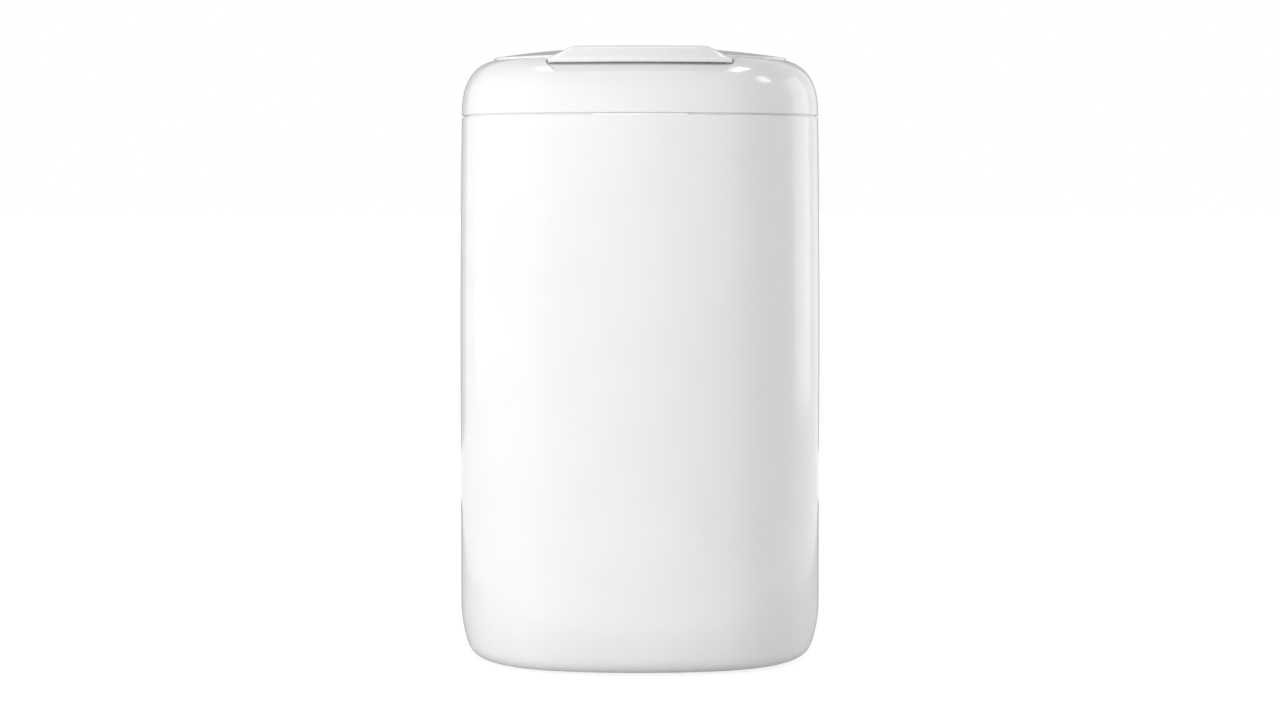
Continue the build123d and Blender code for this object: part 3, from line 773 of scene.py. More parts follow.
def run_tree(piece: Object, tree: bpy.types.NodeTree, helpers: dict[str, Object], finish: Finish) -> None:
    """Runs a tree on a piece, keeps the result as its plain mesh and deletes the helpers.

    Args:
        piece: Object that gets the result.
        tree: Geometry Nodes tree.
        helpers: Objects that only the tree reads, by the name of their input.
        finish: Finish that the tree sets.
    """
    modifier = piece.modifiers.new(tree.name, "NODES")
    modifier.node_group = tree
    values = {**helpers, "Finish": finish.material()}
    for item in tree.interface.items_tree:
        if item.item_type == "SOCKET" and item.in_out == "INPUT" and item.name in values:
            modifier[item.identifier] = values[item.name]
    plain_mesh(piece)
    for helper in helpers.values():
        bpy.data.objects.remove(helper)


def swept_shell(name: str, profile: np.ndarray, spacing: float, finish: Finish) -> Object:
    """Carries an open profile round the plan with the node tree, and closes its two ends flat.

    Args:
        name: Name of the piece.
        profile: Rows of inset and height from one flat end to the other.
        spacing: Distance between stations of the plan.
        finish: Finish of the surface.

    Returns:
        The closed piece.
    """
    stations = PLAN.stations(spacing)
    plan = points_object("plan", at_height(stations[:, :2], 0.0), at_height(stations[:, 2:], 0.0))
    rows = points_object("profile", np.insert(profile, 1, 0.0, axis=1))
    piece = points_object(name, np.zeros((1, 3)))
    run_tree(piece, carried_round_plan(), {"Plan": plan, "Profile": rows}, finish)
    face_outwards(piece)
    return piece


def set_out(name: str, rows: Sequence[Row], steps: int, places: Sequence[Pair], finish: Finish) -> Object:
    """Turns a small part and sets it out at places on the plan with the node tree.

    Args:
        name: Name of the piece.
        rows: Corners of radius, height and rounding of the part.
        steps: Facets round the part.
        places: Places across and in depth.
        finish: Finish of the surface.

    Returns:
        All the parts as one piece.
    """
    shape = Mesher()
    shape.turned(rounded(rows), 0.0, 0.0, steps)
    piece = points_object(name, at_height(np.array(places), 0.0))
    run_tree(piece, copies_at_places(), {"Pattern": shape.solid("pattern")}, finish)
    return piece


# The container with its feet


@dataclass
class Container:
    """Deep shell with crowned walls, and the rubber feet under it."""

    rim_height: float = 284.9
    clearance: float = 1.0
    wall: float = 2.6
    crown_level: float = 150.0
    rim_crown: float = 1.2
    base_tilt: float = math.radians(17.5)
    base_side_radius: float = 72.0
    base_edge_radius: float = 11.5
    rim_rounding: float = 0.5
    recess_inset: float = 31.0
    recess_depth: float = 3.0
    recess_roundings: Pair = (0.4, 0.6)
    floor_rounding: float = 1.2
    ledge_height: float = 257.0
    ledge_thickness: float = 4.0
    ledge_back: float = 9.1
    ledge_half: float = 11.0
    ledge_offset: float = 30.0
    hole_radius: float = 2.75
    hole_reach: Pair = (70.0, 90.0)
    pad_radius: float = 8.0
    pad_height: float = 1.2
    pad_rounding: float = 0.4
    pad_back: float = 79.995
    hole_places: tuple[Pair, ...] = ((-30.0, 75.0), (30.0, 75.0), (-30.0, 225.0), (30.0, 225.0))
    foot_rows: tuple[Row, ...] = (
        (0.5, 0.6, 0.0),
        (3.75, 0.6, 0.8),
        (4.65, 0.0, 0.5),
        (7.5, 0.0, 0.8),
        (7.5, 4.0, 0.0),
        (0.5, 4.0, 0.0),
    )
    foot_places: tuple[Pair, ...] = ((-42.0, -30.0), (42.0, -30.0), (-42.0, 30.0), (42.0, 30.0))
    socket_radius: float = 7.65
    socket_wall: float = 1.4
    socket_depth: float = 1.6
    socket_root: float = 0.9
    socket_start: float = -2.0
    key_rows: tuple[Row, ...] = (
        (1.27, 282.6, 24.5),
        (1.27, 284.8, 24.5),
        (2.02, 285.74, 23.84),
        (2.06, 285.8, 23.75),
        (2.45, 285.8, 23.75),
        (2.45, 282.6, 24.5),
    )

    @property
    def recess_top(self) -> float:
        """Height of the recess under the base."""
        return self.clearance + self.recess_depth

    def crown(self, height: np.ndarray) -> np.ndarray:
        """How far the walls lean in at heights above the widest level."""
        rise = np.maximum(height - self.crown_level, 0.0) / (self.rim_height - self.crown_level)
        return self.rim_crown * rise**2

    def wall_rows(self, depth: float) -> np.ndarray:
        """Walks up one face of the wall.

        Args:
            depth: How far the face lies inside the outer one.

        Returns:
            Rows of inset and height from the floor to the start of the rim's rounding.
        """
        side, edge = self.base_side_radius - depth, self.base_edge_radius - depth
        spread = self.base_side_radius - self.base_edge_radius
        centre = self.base_side_radius - spread * math.cos(self.base_tilt)
        low = self.clearance + self.base_edge_radius
        level = low + spread * math.sin(self.base_tilt)
        edge_turns = np.linspace(math.pi / 2, self.base_tilt, 14)
        side_turns = np.linspace(self.base_tilt, 0.0, 8)[1:]
        straight = np.linspace(level, self.crown_level, 8)[1:]
        crowned = np.linspace(self.crown_level, self.rim_height - self.rim_rounding, 26)[1:]
        insets = (
            centre - edge * np.cos(edge_turns),
            self.base_side_radius - side * np.cos(side_turns),
            np.full(len(straight), depth),
            depth + self.crown(crowned),
        )
        heights = (low - edge * np.sin(edge_turns), level - side * np.sin(side_turns), straight, crowned)
        return np.column_stack((np.concatenate(insets), np.concatenate(heights)))

    def profile(self) -> np.ndarray:
        """Whole profile from the recess under the base to the raised middle of the floor.

        Returns:
            Rows of inset and height.
        """
        outer, inner = self.wall_rows(0.0), self.wall_rows(self.wall)[::-1]
        under = rounded(
            (
                (self.recess_inset + 1.0, self.recess_top, 0.0),
                (self.recess_inset, self.recess_top, self.recess_roundings[0]),
                (self.recess_inset, self.clearance, self.recess_roundings[1]),
                (outer[0, 0], self.clearance, 0.0),
            )
        )
        rim = rounded(
            (
                (outer[-1, 0], outer[-1, 1] - 0.1, 0.0),
                (self.rim_crown, self.rim_height, self.rim_rounding),
                (self.rim_crown + self.wall, self.rim_height, self.rim_rounding),
                (inner[0, 0], inner[0, 1] - 0.1, 0.0),
            )
        )
        raised = self.recess_inset - self.wall
        low, high = self.clearance + self.wall, self.recess_top + self.wall
        floor = rounded(
            (
                (inner[-1, 0], low, 0.0),
                (raised, low, self.floor_rounding),
                (raised, high, self.floor_rounding),
                (raised + 4.0, high, 0.0),
            )
        )
        return np.vstack((under[:-1], outer[:-1], rim[1:-1], inner[1:-1], floor))

    def ledges(self) -> Mesher:
        """Six short ledges on the inner wall that carry the bag ring.

        Returns:
            Their shells.
        """
        made = Mesher()
        lean = float(self.crown(np.array(self.ledge_height)))
        insets = (lean + self.wall / 2, lean + self.ledge_back)
        span = np.linspace(-self.ledge_half, self.ledge_half, 9)
        for way in (-1.0, 1.0):
            across = way * self.ledge_offset + span
            bands = (
                [(way * PLAN.side_across(inset, span), span) for inset in insets],
                [(across, PLAN.front_depth(inset, across)) for inset in insets],
                [(across, np.full(len(span), PLAN.rear_reach - inset)) for inset in insets],
            )
            for root, back in bands:
                plan = np.vstack((np.column_stack(root), np.column_stack(back)[::-1]))
                made.prism(plan, self.ledge_height - self.ledge_thickness, self.ledge_height)
        return made

    def key(self) -> Mesher:
        """Bevelled tongue along the middle of the front rim.

        Returns:
            Its shell.
        """
        share = np.linspace(-1, 1, 41)
        loops = [
            at_height(np.column_stack((half * share, PLAN.front_depth(inset, half * share))), height)
            for inset, height, half in self.key_rows
        ]
        made = Mesher()
        made.shell(np.array(loops).transpose(1, 0, 2))
        return made

    def add_details(self, shell: Object) -> None:
        """Adds ledges, pads, foot sockets and the front key, and bores the holes.

        Args:
            shell: The container's shell.
        """
        added, bored = self.ledges(), Mesher()
        radius, rounding = self.pad_radius, self.pad_rounding
        front = PLAN.rear_reach - self.wall - self.pad_height
        pad = rounded(
            (
                (rounding, front, 0.0),
                (radius, front, rounding),
                (radius, self.pad_back, 0.0),
                (rounding, self.pad_back, 0.0),
            )
        )
        for x, z in self.hole_places:
            added.turned(pad, x, z, 56, lying=True)
            bored.cylinder(self.hole_radius, self.hole_reach, (x, z), 48, lying=True)
        boss = (self.recess_top - self.socket_depth, self.recess_top + self.socket_root)
        for place in self.foot_places:
            added.cylinder(self.socket_radius + self.socket_wall, boss, place, 56)
            bored.cylinder(self.socket_radius, (self.socket_start, self.recess_top), place, 56)
        join(shell, added, Cut.ADD)
        join(shell, bored, Cut.REMOVE)
        join(shell, self.key(), Cut.ADD)

    def build(self) -> None:
        """Builds and dresses the container and its feet."""
        shell = swept_shell("container_moulding", self.profile(), 3.0, GLOSS_WHITE)
        self.add_details(shell)
        dress(shell, GLOSS_WHITE, Body.CONTAINER, ["container"])
        feet = set_out("rubber_feet", self.foot_rows, 72, self.foot_places, DARK_RUBBER)
        nodes = [f"foot_{end}_{side}" for end in ("front", "rear") for side in ("left", "right")]
        dress(feet, DARK_RUBBER, Body.CONTAINER, nodes)


# The bag ring


@dataclass
class BagRing:
    """Ring with an inward flange and two finger tabs, over which the bag is folded."""

    inset: float = 4.5
    bottom: float = 257.0
    top: float = 270.0
    wall: float = 1.8
    flange: float = 5.0
    tab_radius: float = 13.0
    tab_sink: float = 0.3
    tab_step: float = 0.02
    finger_radius: float = 9.0
    finger_reach: float = 5.0

    def disc(self, centre_x: float, radius: float, inset: float) -> np.ndarray:
        """Outline of a round tab or hole, cut off where the ring's side is.

        Args:
            centre_x: Place across of its centre.
            radius: Its radius.
            inset: Inset of the line where it is cut off.

        Returns:
            Rows of place across and depth.
        """
        x, y = on_circle(radius, full_turn(72)).T
        reach = np.minimum(abs(centre_x) + x, PLAN.side_across(inset, y))
        return np.column_stack((math.copysign(1.0, centre_x) * reach, y))

    def build(self) -> None:
        """Builds and dresses the ring."""
        back, under = self.inset + self.wall, self.top - self.wall
        lip = back + self.flange
        section = rounded(
            (
                (self.inset, self.bottom, 0.5),
                (self.inset, self.top, 1.0),
                (lip, self.top, 0.7),
                (lip, under, 0.7),
                (back, under, 0.4),
                (back, self.bottom, 0.5),
            ),
            closed=True,
        )
        made, tabs, holes = (Mesher() for _ in range(3))
        made.shell(carried(PLAN.stations(3.0), section[None, :, 0], section[None, :, 1]), Ends.RING)
        ring = made.solid("bag_ring_moulding")
        for side in (-1.0, 1.0):
            centre = side * (PLAN.width / 2 - lip)
            tab = self.disc(centre, self.tab_radius, self.inset + self.tab_sink)
            tabs.prism(tab, under + self.tab_step, self.top - self.tab_step)
            hole = self.disc(centre, self.finger_radius, lip - self.wall)
            holes.prism(hole, under - self.finger_reach, self.top + self.finger_reach)
        join(ring, tabs, Cut.ADD)
        join(ring, holes, Cut.REMOVE)
        dress(ring, SATIN_WHITE, Body.BAG_RING, ["bag_ring"])


# The lid frame with its bumpers


@dataclass
class LidFrame:
    """Rounded shoulder with the flap ledge, chute, skirt, finger scoop, hinge well and ears."""

    edge_height: float = 285.9
    rim_height: float = 284.9
    crown: float = 1.2
    wall: float = 2.4
    reach: float = 24.0
    rise: float = 29.2
    power: float = 0.8
    seat_web: float = 2.5
    seam_inset: float = 2.75
    seam_rounding: float = 0.5
    first_turns: Row = (0.004, 0.012, 0.03)
    skirt_inset: float = 4.2
    skirt_wall: float = 1.8
    skirt_depth: float = 11.5
    recess_inset: float = 17.7
    recess_lip: float = 0.3
    lip_steps: tuple[Pair, ...] = ((0.15, 0.04), (0.25, 0.3), (0.3, 1.0))
    ledge_height: float = 312.6
    ledge_thickness: float = 2.2
    shelf_front: float = 15.0
    shelf_run: float = 3.0
    mouth_inset: float = 27.0
    chute_wall: float = 2.0
    chute_depth: float = 16.0
    scoop_floor: tuple[Pair, ...] = (
        (5.0, 305.9),
        (7.6, 307.9),
        (10.2, 310.05),
        (12.5, 311.0),
        (15.5, 311.35),
    )
    scoop_halves: Pair = (41.0, 47.5)
    scoop_back: Pair = (15.48, 15.6)
    scoop_limit: float = 60.0
    scoop_cliff: float = 0.08
    scoop_bank: float = 6.0
    scoop_wall: float = 2.2
    soft_edge: float = 0.35
    spacing: float = 2.6
    fine_spacing: Row = (0.3, 39.0, 54.0)
    hinge_y: float = 58.5
    hinge_height: float = 313.9
    hinge_half: float = 46.0
    well_front: float = 54.9
    well_floor: float = 310.3
    well_wall: float = 2.2
    well_root: float = 10.1
    well_play: float = 0.05
    well_relief: float = 0.8
    well_top: float = 330.0
    plate_front: float = 53.0
    plate_top: float = 311.2
    barrel_radius: float = 3.1
    rod_bore: float = 1.3
    ear_width: float = 6.0
    ear_gap: float = 0.4
    ear_slot: float = 2.0
    ear_places: tuple[float, ...] = (-43.0, -20.4, 20.4, 43.0)
    bumper_places: tuple[Pair, ...] = ((-48.03, -48.54), (48.03, -48.54))
    bumper_bore: float = 1.75
    bumper_reach: Pair = (305.0, 318.0)
    bumper_rows: tuple[Row, ...] = (
        (0.3, 308.8, 0.0),
        (1.2, 308.8, 0.25),
        (2.3, 310.4, 0.2),
        (1.7, 310.4, 0.0),
        (1.7, 312.6, 0.0),
        (3.2, 312.6, 0.12),
        (3.2, 313.3, 0.35),
        (0.3, 313.3, 0.0),
    )

    def shoulder(self, depth: float, turns: np.ndarray) -> np.ndarray:
        """Points of the shoulder at a depth inside its outer face.

        Args:
            depth: Distance inside the outer face.
            turns: Turns from the side towards the top.

        Returns:
            Rows of inset and height.
        """
        inset = self.crown + depth + (self.reach - depth) * (1 - np.cos(turns) ** self.power)
        return np.column_stack((inset, self.edge_height + (self.rise - depth) * np.sin(turns) ** self.power))

    def turn_at_inset(self, inset: float) -> float:
        """Turn at which the outer shoulder has moved in to an inset."""
        return math.acos((1 - (inset - self.crown) / self.reach) ** (1 / self.power))

    def turn_at_height(self, height: float) -> float:
        """Turn at which the inner shoulder has risen to a height."""
        return math.asin(((height - self.edge_height) / (self.rise - self.wall)) ** (1 / self.power))

    def scoop_height(self, inset: np.ndarray, x: np.ndarray, margin: float) -> np.ndarray:
        """Height that the finger scoop leaves, at insets and places across.

        Args:
            inset: Insets.
            x: Places across, of the same shape.
            margin: Growth of the scoop, for the wall under it.

        Returns:
            The heights, which are high outside the scoop.
        """
        low, back, top = self.scoop_floor[0][1], *self.scoop_floor[-1]
        cliff = back + margin
        depths = [*(depth for depth, _ in self.scoop_floor[:-1]), cliff, cliff + self.scoop_cliff]
        levels = [height - margin for _, height in self.scoop_floor] + [self.ledge_height]
        narrow, wide = (half + margin for half in self.scoop_halves)
        away = np.abs(x)
        slope = (top - low) / (wide - narrow)
        side = np.where(away < wide, low + (away - narrow) * slope, top + (away - wide) * self.scoop_bank)
        return soft_max(np.interp(inset, depths, levels), side, self.soft_edge)

    def outer_rows(self) -> tuple[np.ndarray, np.ndarray]:
        """Walks up the outside, from the seam to the lip over the recess.

        Returns:
            Rows of inset and height of the rounded lower edge, and of the shoulder above it.
        """
        last = self.turn_at_inset(self.recess_inset - self.recess_lip)
        extra = [self.turn_at_inset(inset) for inset in self.scoop_back]
        turns = np.sort(np.concatenate((self.first_turns, np.linspace(0.06, last, 70), extra)))
        outer = self.shoulder(0.0, turns)
        edge = rounded(
            (
                (self.seam_inset, self.edge_height, 0.0),
                (self.crown, self.edge_height, self.seam_rounding),
                (outer[0, 0], outer[0, 1] + self.seam_rounding, 0.0),
            )
        )
        return edge[1:-1], outer[outer[:, 1] > self.edge_height + self.seam_rounding + 0.05]

    def ledge_rows(self) -> np.ndarray:
        """Walks from the recess over the flap ledge and round the chute.

        Returns:
            Rows of inset and height.
        """
        bore, low = self.mouth_inset - self.chute_wall, self.ledge_height - self.chute_depth
        under = self.ledge_height - self.ledge_thickness
        ledge = rounded(
            (
                (self.recess_inset, self.ledge_height, 0.25),
                (self.mouth_inset, self.ledge_height, 0.5),
                (self.mouth_inset, low, 0.6),
                (bore, low, 0.6),
                (bore, under, 0.5),
                (bore - self.shelf_run, under, 0.0),
            ),
            closed=True,
        )
        return ledge[ledge[:, 0] > self.recess_inset - 0.01]

    def inner_rows(self) -> np.ndarray:
        """Walks along the underside of the ledge and down the inside of the shoulder.

        Returns:
            Rows of inset and height.
        """
        under, web = self.ledge_height - self.ledge_thickness, self.rim_height + self.seat_web
        start = self.mouth_inset - self.chute_wall - self.shelf_run
        shelf = np.column_stack((np.linspace(start, self.shelf_front, 12), np.full(12, under)))
        turns = np.linspace(self.turn_at_height(under), self.turn_at_height(web), 48)
        return np.vstack((shelf, self.shoulder(self.wall, turns)))

    def skirt_rows(self, start: float) -> np.ndarray:
        """Walks over the seat and round the skirt, back to the seam.

        Args:
            start: Inset where the inside of the shoulder ends.

        Returns:
            Rows of inset and height.
        """
        back, low = self.skirt_inset + self.skirt_wall, self.rim_height - self.skirt_depth
        web = self.rim_height + self.seat_web
        corners = (
            (start, web, 0.0),
            (back, web, 0.4),
            (back, low, 0.7),
            (self.skirt_inset, low, 0.7),
            (self.skirt_inset, self.rim_height, 0.0),
            (self.seam_inset, self.rim_height, 0.0),
            (self.seam_inset, self.edge_height, 0.0),
        )
        return rounded(corners)[1:]

    def section(self, stations: np.ndarray) -> np.ndarray:
        """Closed cross-section at every station, with the scoop let into the front.

        Args:
            stations: Stations of the plan.

        Returns:
            Points by station and by place along the section.
        """
        (edge, outer), ledge, inner = self.outer_rows(), self.ledge_rows(), self.inner_rows()
        lip = np.zeros((len(self.lip_steps), 2))
        profile = np.vstack((edge, outer, lip, ledge, inner, self.skirt_rows(inner[-1, 0])))
        insets, heights = (np.repeat(profile[None, :, k], len(stations), axis=0) for k in (0, 1))
        across = stations[:, :1] - insets * stations[:, 2:3]
        front = (stations[:, 1:2] < 0) & (np.abs(across) < self.scoop_limit)
        top = slice(len(edge), len(edge) + len(outer))
        low = slice(top.stop + len(lip) + len(ledge), top.stop + len(lip) + len(ledge) + len(inner))
        for part, margin in ((top, 0.0), (low, self.scoop_wall)):
            level, carved = heights[:, part], self.scoop_height(insets[:, part], across[:, part], margin)
            lowered = np.minimum(level, carved) if margin else soft_min(level, carved, self.soft_edge)
            heights[:, part] = np.where(front[:, part], lowered, level)
        crest = heights[:, top.stop - 1]
        lift = np.clip((crest - self.ledge_height) / 2, 0.0, self.recess_lip)
        for step, (run, fall) in enumerate(self.lip_steps):
            insets[:, top.stop + step] = self.recess_inset - self.recess_lip + run
            heights[:, top.stop + step] = crest - lift * fall
        return carried(stations, insets, heights)

    def rear_region(self, stations: np.ndarray, inset: float, front: float) -> np.ndarray:
        """Plan region inside the outline behind a line.

        Args:
            stations: Stations of the plan.
            inset: Inset of the outline.
            front: Depth of the line.

        Returns:
            Rows of place across and depth.
        """
        points = outline(stations, inset)
        kept = points[points[:, 1] > front]
        right = points[: len(points) // 2]
        reach = float(np.interp(front, right[:, 1], right[:, 0]))
        return np.vstack(([(reach, front)], kept, [(-reach, front)]))

    def well(self, stations: np.ndarray) -> np.ndarray:
        """Plan of the well, with a relief in the back wall behind the hinge.

        Args:
            stations: Stations of the plan.

        Returns:
            Rows of place across and depth.
        """
        inset = self.recess_inset + self.well_play
        region = self.rear_region(stations, inset, self.well_front)
        half, edge = self.hinge_half + self.ear_gap, PLAN.rear_reach - inset
        back = PLAN.rear_reach - self.recess_inset + self.well_relief
        flat = (np.abs(region[:, 0]) <= PLAN.flat_half + 1e-6) & (region[:, 1] > edge - 1e-6)
        first, last = np.flatnonzero(flat)[[0, -1]]
        relief = [(half, edge - 0.001), (half, back), (-half, back), (-half, edge - 0.001)]
        return np.vstack((region[:first], relief, region[last + 1 :]))

    def ear(self) -> np.ndarray:
        """Outline of a hinge ear, open at the top so that the rod snaps in.

        Returns:
            Rows of depth and height.
        """
        outer, inner = self.barrel_radius, self.rod_bore
        outer_turn, inner_turn = (math.asin(self.ear_slot / 2 / radius) for radius in (outer, inner))
        right = on_circle(outer, np.linspace(0, math.pi / 2 - outer_turn, 16))
        bore = on_circle(inner, np.linspace(math.pi / 2 - inner_turn, -1.5 * math.pi + inner_turn, 30))
        root = self.well_floor - self.well_wall / 2 - self.hinge_height
        edge = np.vstack((right, bore, right[::-1] * (-1, 1), [(-outer, root), (outer, root)]))
        return np.array((self.hinge_y, self.hinge_height)) + edge

    def add_hinge(self, frame: Object) -> None:
        """Adds the plate under the well, cuts the well, adds the ears and bores the bumper holes.

        Args:
            frame: The lid frame.
        """
        stations = PLAN.stations(2.0)
        plate, well, ears, holes = (Mesher() for _ in range(4))
        region = self.rear_region(stations, self.well_root, self.plate_front)
        plate.prism(region, self.well_floor - self.well_wall, self.plate_top)
        well.prism(self.well(stations), self.well_floor, self.well_top)
        for middle in self.ear_places:
            ears.bar(self.ear(), middle - self.ear_width / 2, middle + self.ear_width / 2)
        for place in self.bumper_places:
            holes.cylinder(self.bumper_bore, self.bumper_reach, place, 40)
        join(frame, plate, Cut.ADD)
        join(frame, well, Cut.REMOVE)
        join(frame, ears, Cut.ADD)
        join(frame, holes, Cut.REMOVE)

    def build(self) -> None:
        """Builds and dresses the lid frame and its bumpers."""
        made = Mesher()
        made.shell(self.section(PLAN.stations(self.spacing, self.fine_spacing)), Ends.RING)
        frame = made.solid("lid_frame_moulding")
        self.add_hinge(frame)
        dress(frame, GLOSS_WHITE, Body.LID_FRAME, ["lid_frame"])
        bumpers = set_out("soft_bumpers", self.bumper_rows, 48, self.bumper_places, LIGHT_RUBBER)
        nodes = ["flap_bumper_left", "flap_bumper_right"]
        dress(bumpers, LIGHT_RUBBER, Body.LID_FRAME, nodes)


# The flap with its cover and rod


@dataclass
class Flap:
    """Domed flap with a hollow front grip, its underside cover and its hinge rod."""

    inset: float = 18.2
    skin: float = 2.2
    under: float = 313.3
    across_radius: float = 500.0
    deep_radius: float = 350.0
    crest: float = 322.0
    edge_rounding: float = 0.4
    edge_run: float = 8.0
    hollow_bottom: float = 309.0
    hollow_rounding: float = 0.3
    grip_inset: float = 7.0
    grip_top_inset: float = 13.0
    grip_bottom: float = 311.0
    grip_top: float = 320.0
    grip_halves: Pair = (46.6, 34.0)
    grip_shoulder: float = 313.8
    grip_corner: float = 9.0
    grip_least: float = 0.2
    lip_height: float = 311.4
    lip_radius: float = 2.0
    lip_corner: float = 1.0
    lip_relief: float = 0.5
    lip_back: float = 12.0
    front_rows: Pair = (12.25, 14.8)
    neck_half: float = 45.8
    neck_rows: tuple[float, ...] = (15.01, 15.6, 16.4, 17.3, 18.3)
    neck_rise: float = 0.01
    band_rise: float = 0.6
    brow: float = 1.5
    grip_edge: float = 3.2
    hang: float = 15.0
    grip_back: float = 60.0
    void_start: float = 8.4
    void_front: Pair = (44.6, 308.8)
    void_rear: Pair = (40.4, 311.9)
    void_gap: float = 0.05
    rib_inset: float = 30.0
    rib_wall: float = 1.5
    root: float = 0.7
    cover_height: float = 312.4
    cover_thickness: float = 1.6
    cover_inset: float = 28.0
    cover_run: float = 6.0
    post_radius: float = 3.4
    rod_bore: float = 1.25
    trim_reach: Pair = (305.0, 330.0)
    hinge: LidFrame = field(default_factory=LidFrame)

    @property
    def grip_slope(self) -> float:
        """Rise of the grip's front face per distance inwards."""
        return (self.grip_top - self.grip_bottom) / (self.grip_top_inset - self.grip_inset)

    def dome(self, x: np.ndarray, y: np.ndarray, sink: float = 0.0) -> np.ndarray:
        """Height of the domed top at places across and in depth.

        Args:
            x: Places across.
            y: Depths.
            sink: Distance inside the outer face.

        Returns:
            The heights.
        """
        across, deep = self.across_radius - sink, self.deep_radius - sink
        radius = deep - (across - np.sqrt(across**2 - x**2))
        return self.crest - sink - deep + np.sqrt(radius**2 - y**2)

    def under_dome(self, x: float, y: float) -> float:
        """Height within the flap's skin over one place, where what it carries ends."""
        return float(self.dome(np.array(x), np.array(y))) - self.root

    def plate(self, inset: float, sink: float, bottom: float, rounding: float) -> Mesher:
        """Solid between the flat underside and the dome.

        Args:
            inset: Inset of its side.
            sink: Distance of its top inside the outer dome.
            bottom: Height of its underside.
            rounding: Radius of its top edge.

        Returns:
            Its shell.
        """
        stations = PLAN.stations(2.0)
        edge = outline(stations, inset + rounding)
        height = self.dome(edge[:, 0], edge[:, 1], sink)
        loops = [at_height(outline(stations, inset), bottom)]
        for turn in np.linspace(0, math.pi / 2, 6)[:-1]:
            ring = outline(stations, inset + rounding * (1 - math.cos(turn)))
            loops.append(at_height(ring, height - rounding * (1 - math.sin(turn))))
        rings = [outline(stations, inset + rounding + extra) for extra in np.linspace(0, self.edge_run, 9)]
        rings += [rings[-1] * share for share in np.linspace(1, 0.02, 24)[1:]]
        loops += [at_height(ring, self.dome(ring[:, 0], ring[:, 1], sink)) for ring in rings]
        made = Mesher()
        made.shell(np.array(loops))
        return made

    def grip_sides(self, x: np.ndarray, wall: float) -> np.ndarray:
        """Height of the grip's top and sides in the front view, with rounded corners.

        Args:
            x: Places across.
            wall: Distance inside the outer face.

        Returns:
            The heights.
        """
        low_half, high_half = self.grip_halves
        run = (low_half - high_half) / (self.grip_top - self.grip_shoulder)
        tilt = math.atan(1 / run)
        radius, top = self.grip_corner - wall, self.grip_top - wall
        start = low_half - wall * math.hypot(1, run)
        corner = start - (top - self.grip_shoulder) * run
        centre = corner - radius * math.tan(tilt / 2)
        away = np.abs(x)
        arc = top - radius + np.sqrt(np.maximum(radius**2 - (away - centre) ** 2, 0.0))
        line = self.grip_shoulder + (start - away) / run
        return np.where(away < centre, top, np.where(away < centre + radius * math.sin(tilt), arc, line))

    def grip_solid(self, made: Mesher, wall: float, rows: Sequence[tuple[float, ...]]) -> None:
        """Adds a solid of the grip, as heights over a grid of places across and insets.

        Args:
            made: Shells that it joins.
            wall: Distance inside the outer face.
            rows: Inset, half width, underside and greatest height of each row, from the front.
        """
        start = self.grip_inset + wall * math.hypot(1, 1 / self.grip_slope)
        share = np.sin(np.linspace(-math.pi / 2, math.pi / 2, 181))
        depth, half, low, cap = (np.array(column)[:, None] for column in zip(*rows))
        x = half * share
        y, bottom = PLAN.front_depth(depth, x), np.broadcast_to(low, x.shape)
        slanted = np.minimum(self.grip_bottom + (depth - start) * self.grip_slope, cap)
        front = np.broadcast_to(slanted, x.shape)
        blend = np.interp(np.abs(x), self.grip_halves[::-1], (self.brow, self.grip_edge))
        top = np.maximum(soft_min(front, self.grip_sides(x, wall), blend), bottom + self.grip_least)
        upper, lower = np.stack((x, y, top), axis=2), np.stack((x, y, bottom), axis=2)
        made.shell(np.concatenate((upper, lower[:, ::-1]), axis=1), Ends.LADDER)

    def grip(self) -> Mesher:
        """Outer solid of the grip, with a rounded lower lip.

        Returns:
            Its shell.
        """
        half, low, radius = self.grip_halves[0], self.lip_height, self.lip_radius
        tilt = math.atan(self.grip_slope)
        centre = self.grip_inset + (low - self.grip_bottom) / self.grip_slope + radius / math.tan(tilt / 2)
        meet = math.pi / 2 - tilt
        rows = []
        for turn in np.sort(np.append(np.linspace(0, math.pi / 2, 15), [meet, meet + 0.01])):
            rise = radius * math.sin(turn)
            cap = low + radius + rise if turn <= meet else math.inf
            side = half - self.lip_corner * (1 - math.sin(turn))
            rows.append((centre - radius * math.cos(turn), side, low + radius - rise, cap))
        front = (*np.linspace(centre + 0.2, self.lip_back, 6), *np.linspace(*self.front_rows, 16), self.hang)
        rows += [(depth, half, low + self.lip_relief * (depth > self.lip_back), math.inf) for depth in front]
        band = np.linspace(self.neck_rows[-1] + 0.01, self.grip_back, 24)
        for depths, rise in ((self.neck_rows, self.neck_rise), (band, self.band_rise)):
            rows += [(depth, self.neck_half, self.under + rise, math.inf) for depth in depths]
        made = Mesher()
        self.grip_solid(made, 0.0, rows)
        return made

    def grip_void(self) -> Mesher:
        """Hollow of the grip in front of the flap's band, and the one behind it.

        Returns:
            Their shells.
        """
        made = Mesher()
        ahead = np.linspace(self.void_start, self.inset - self.void_gap, 40)
        behind = np.linspace(self.inset + self.skin + self.void_gap, self.grip_back - self.skin, 20)
        for depths, limits in ((ahead, self.void_front), (behind, self.void_rear)):
            self.grip_solid(made, self.skin, [(depth, *limits, math.inf) for depth in depths])
        return made

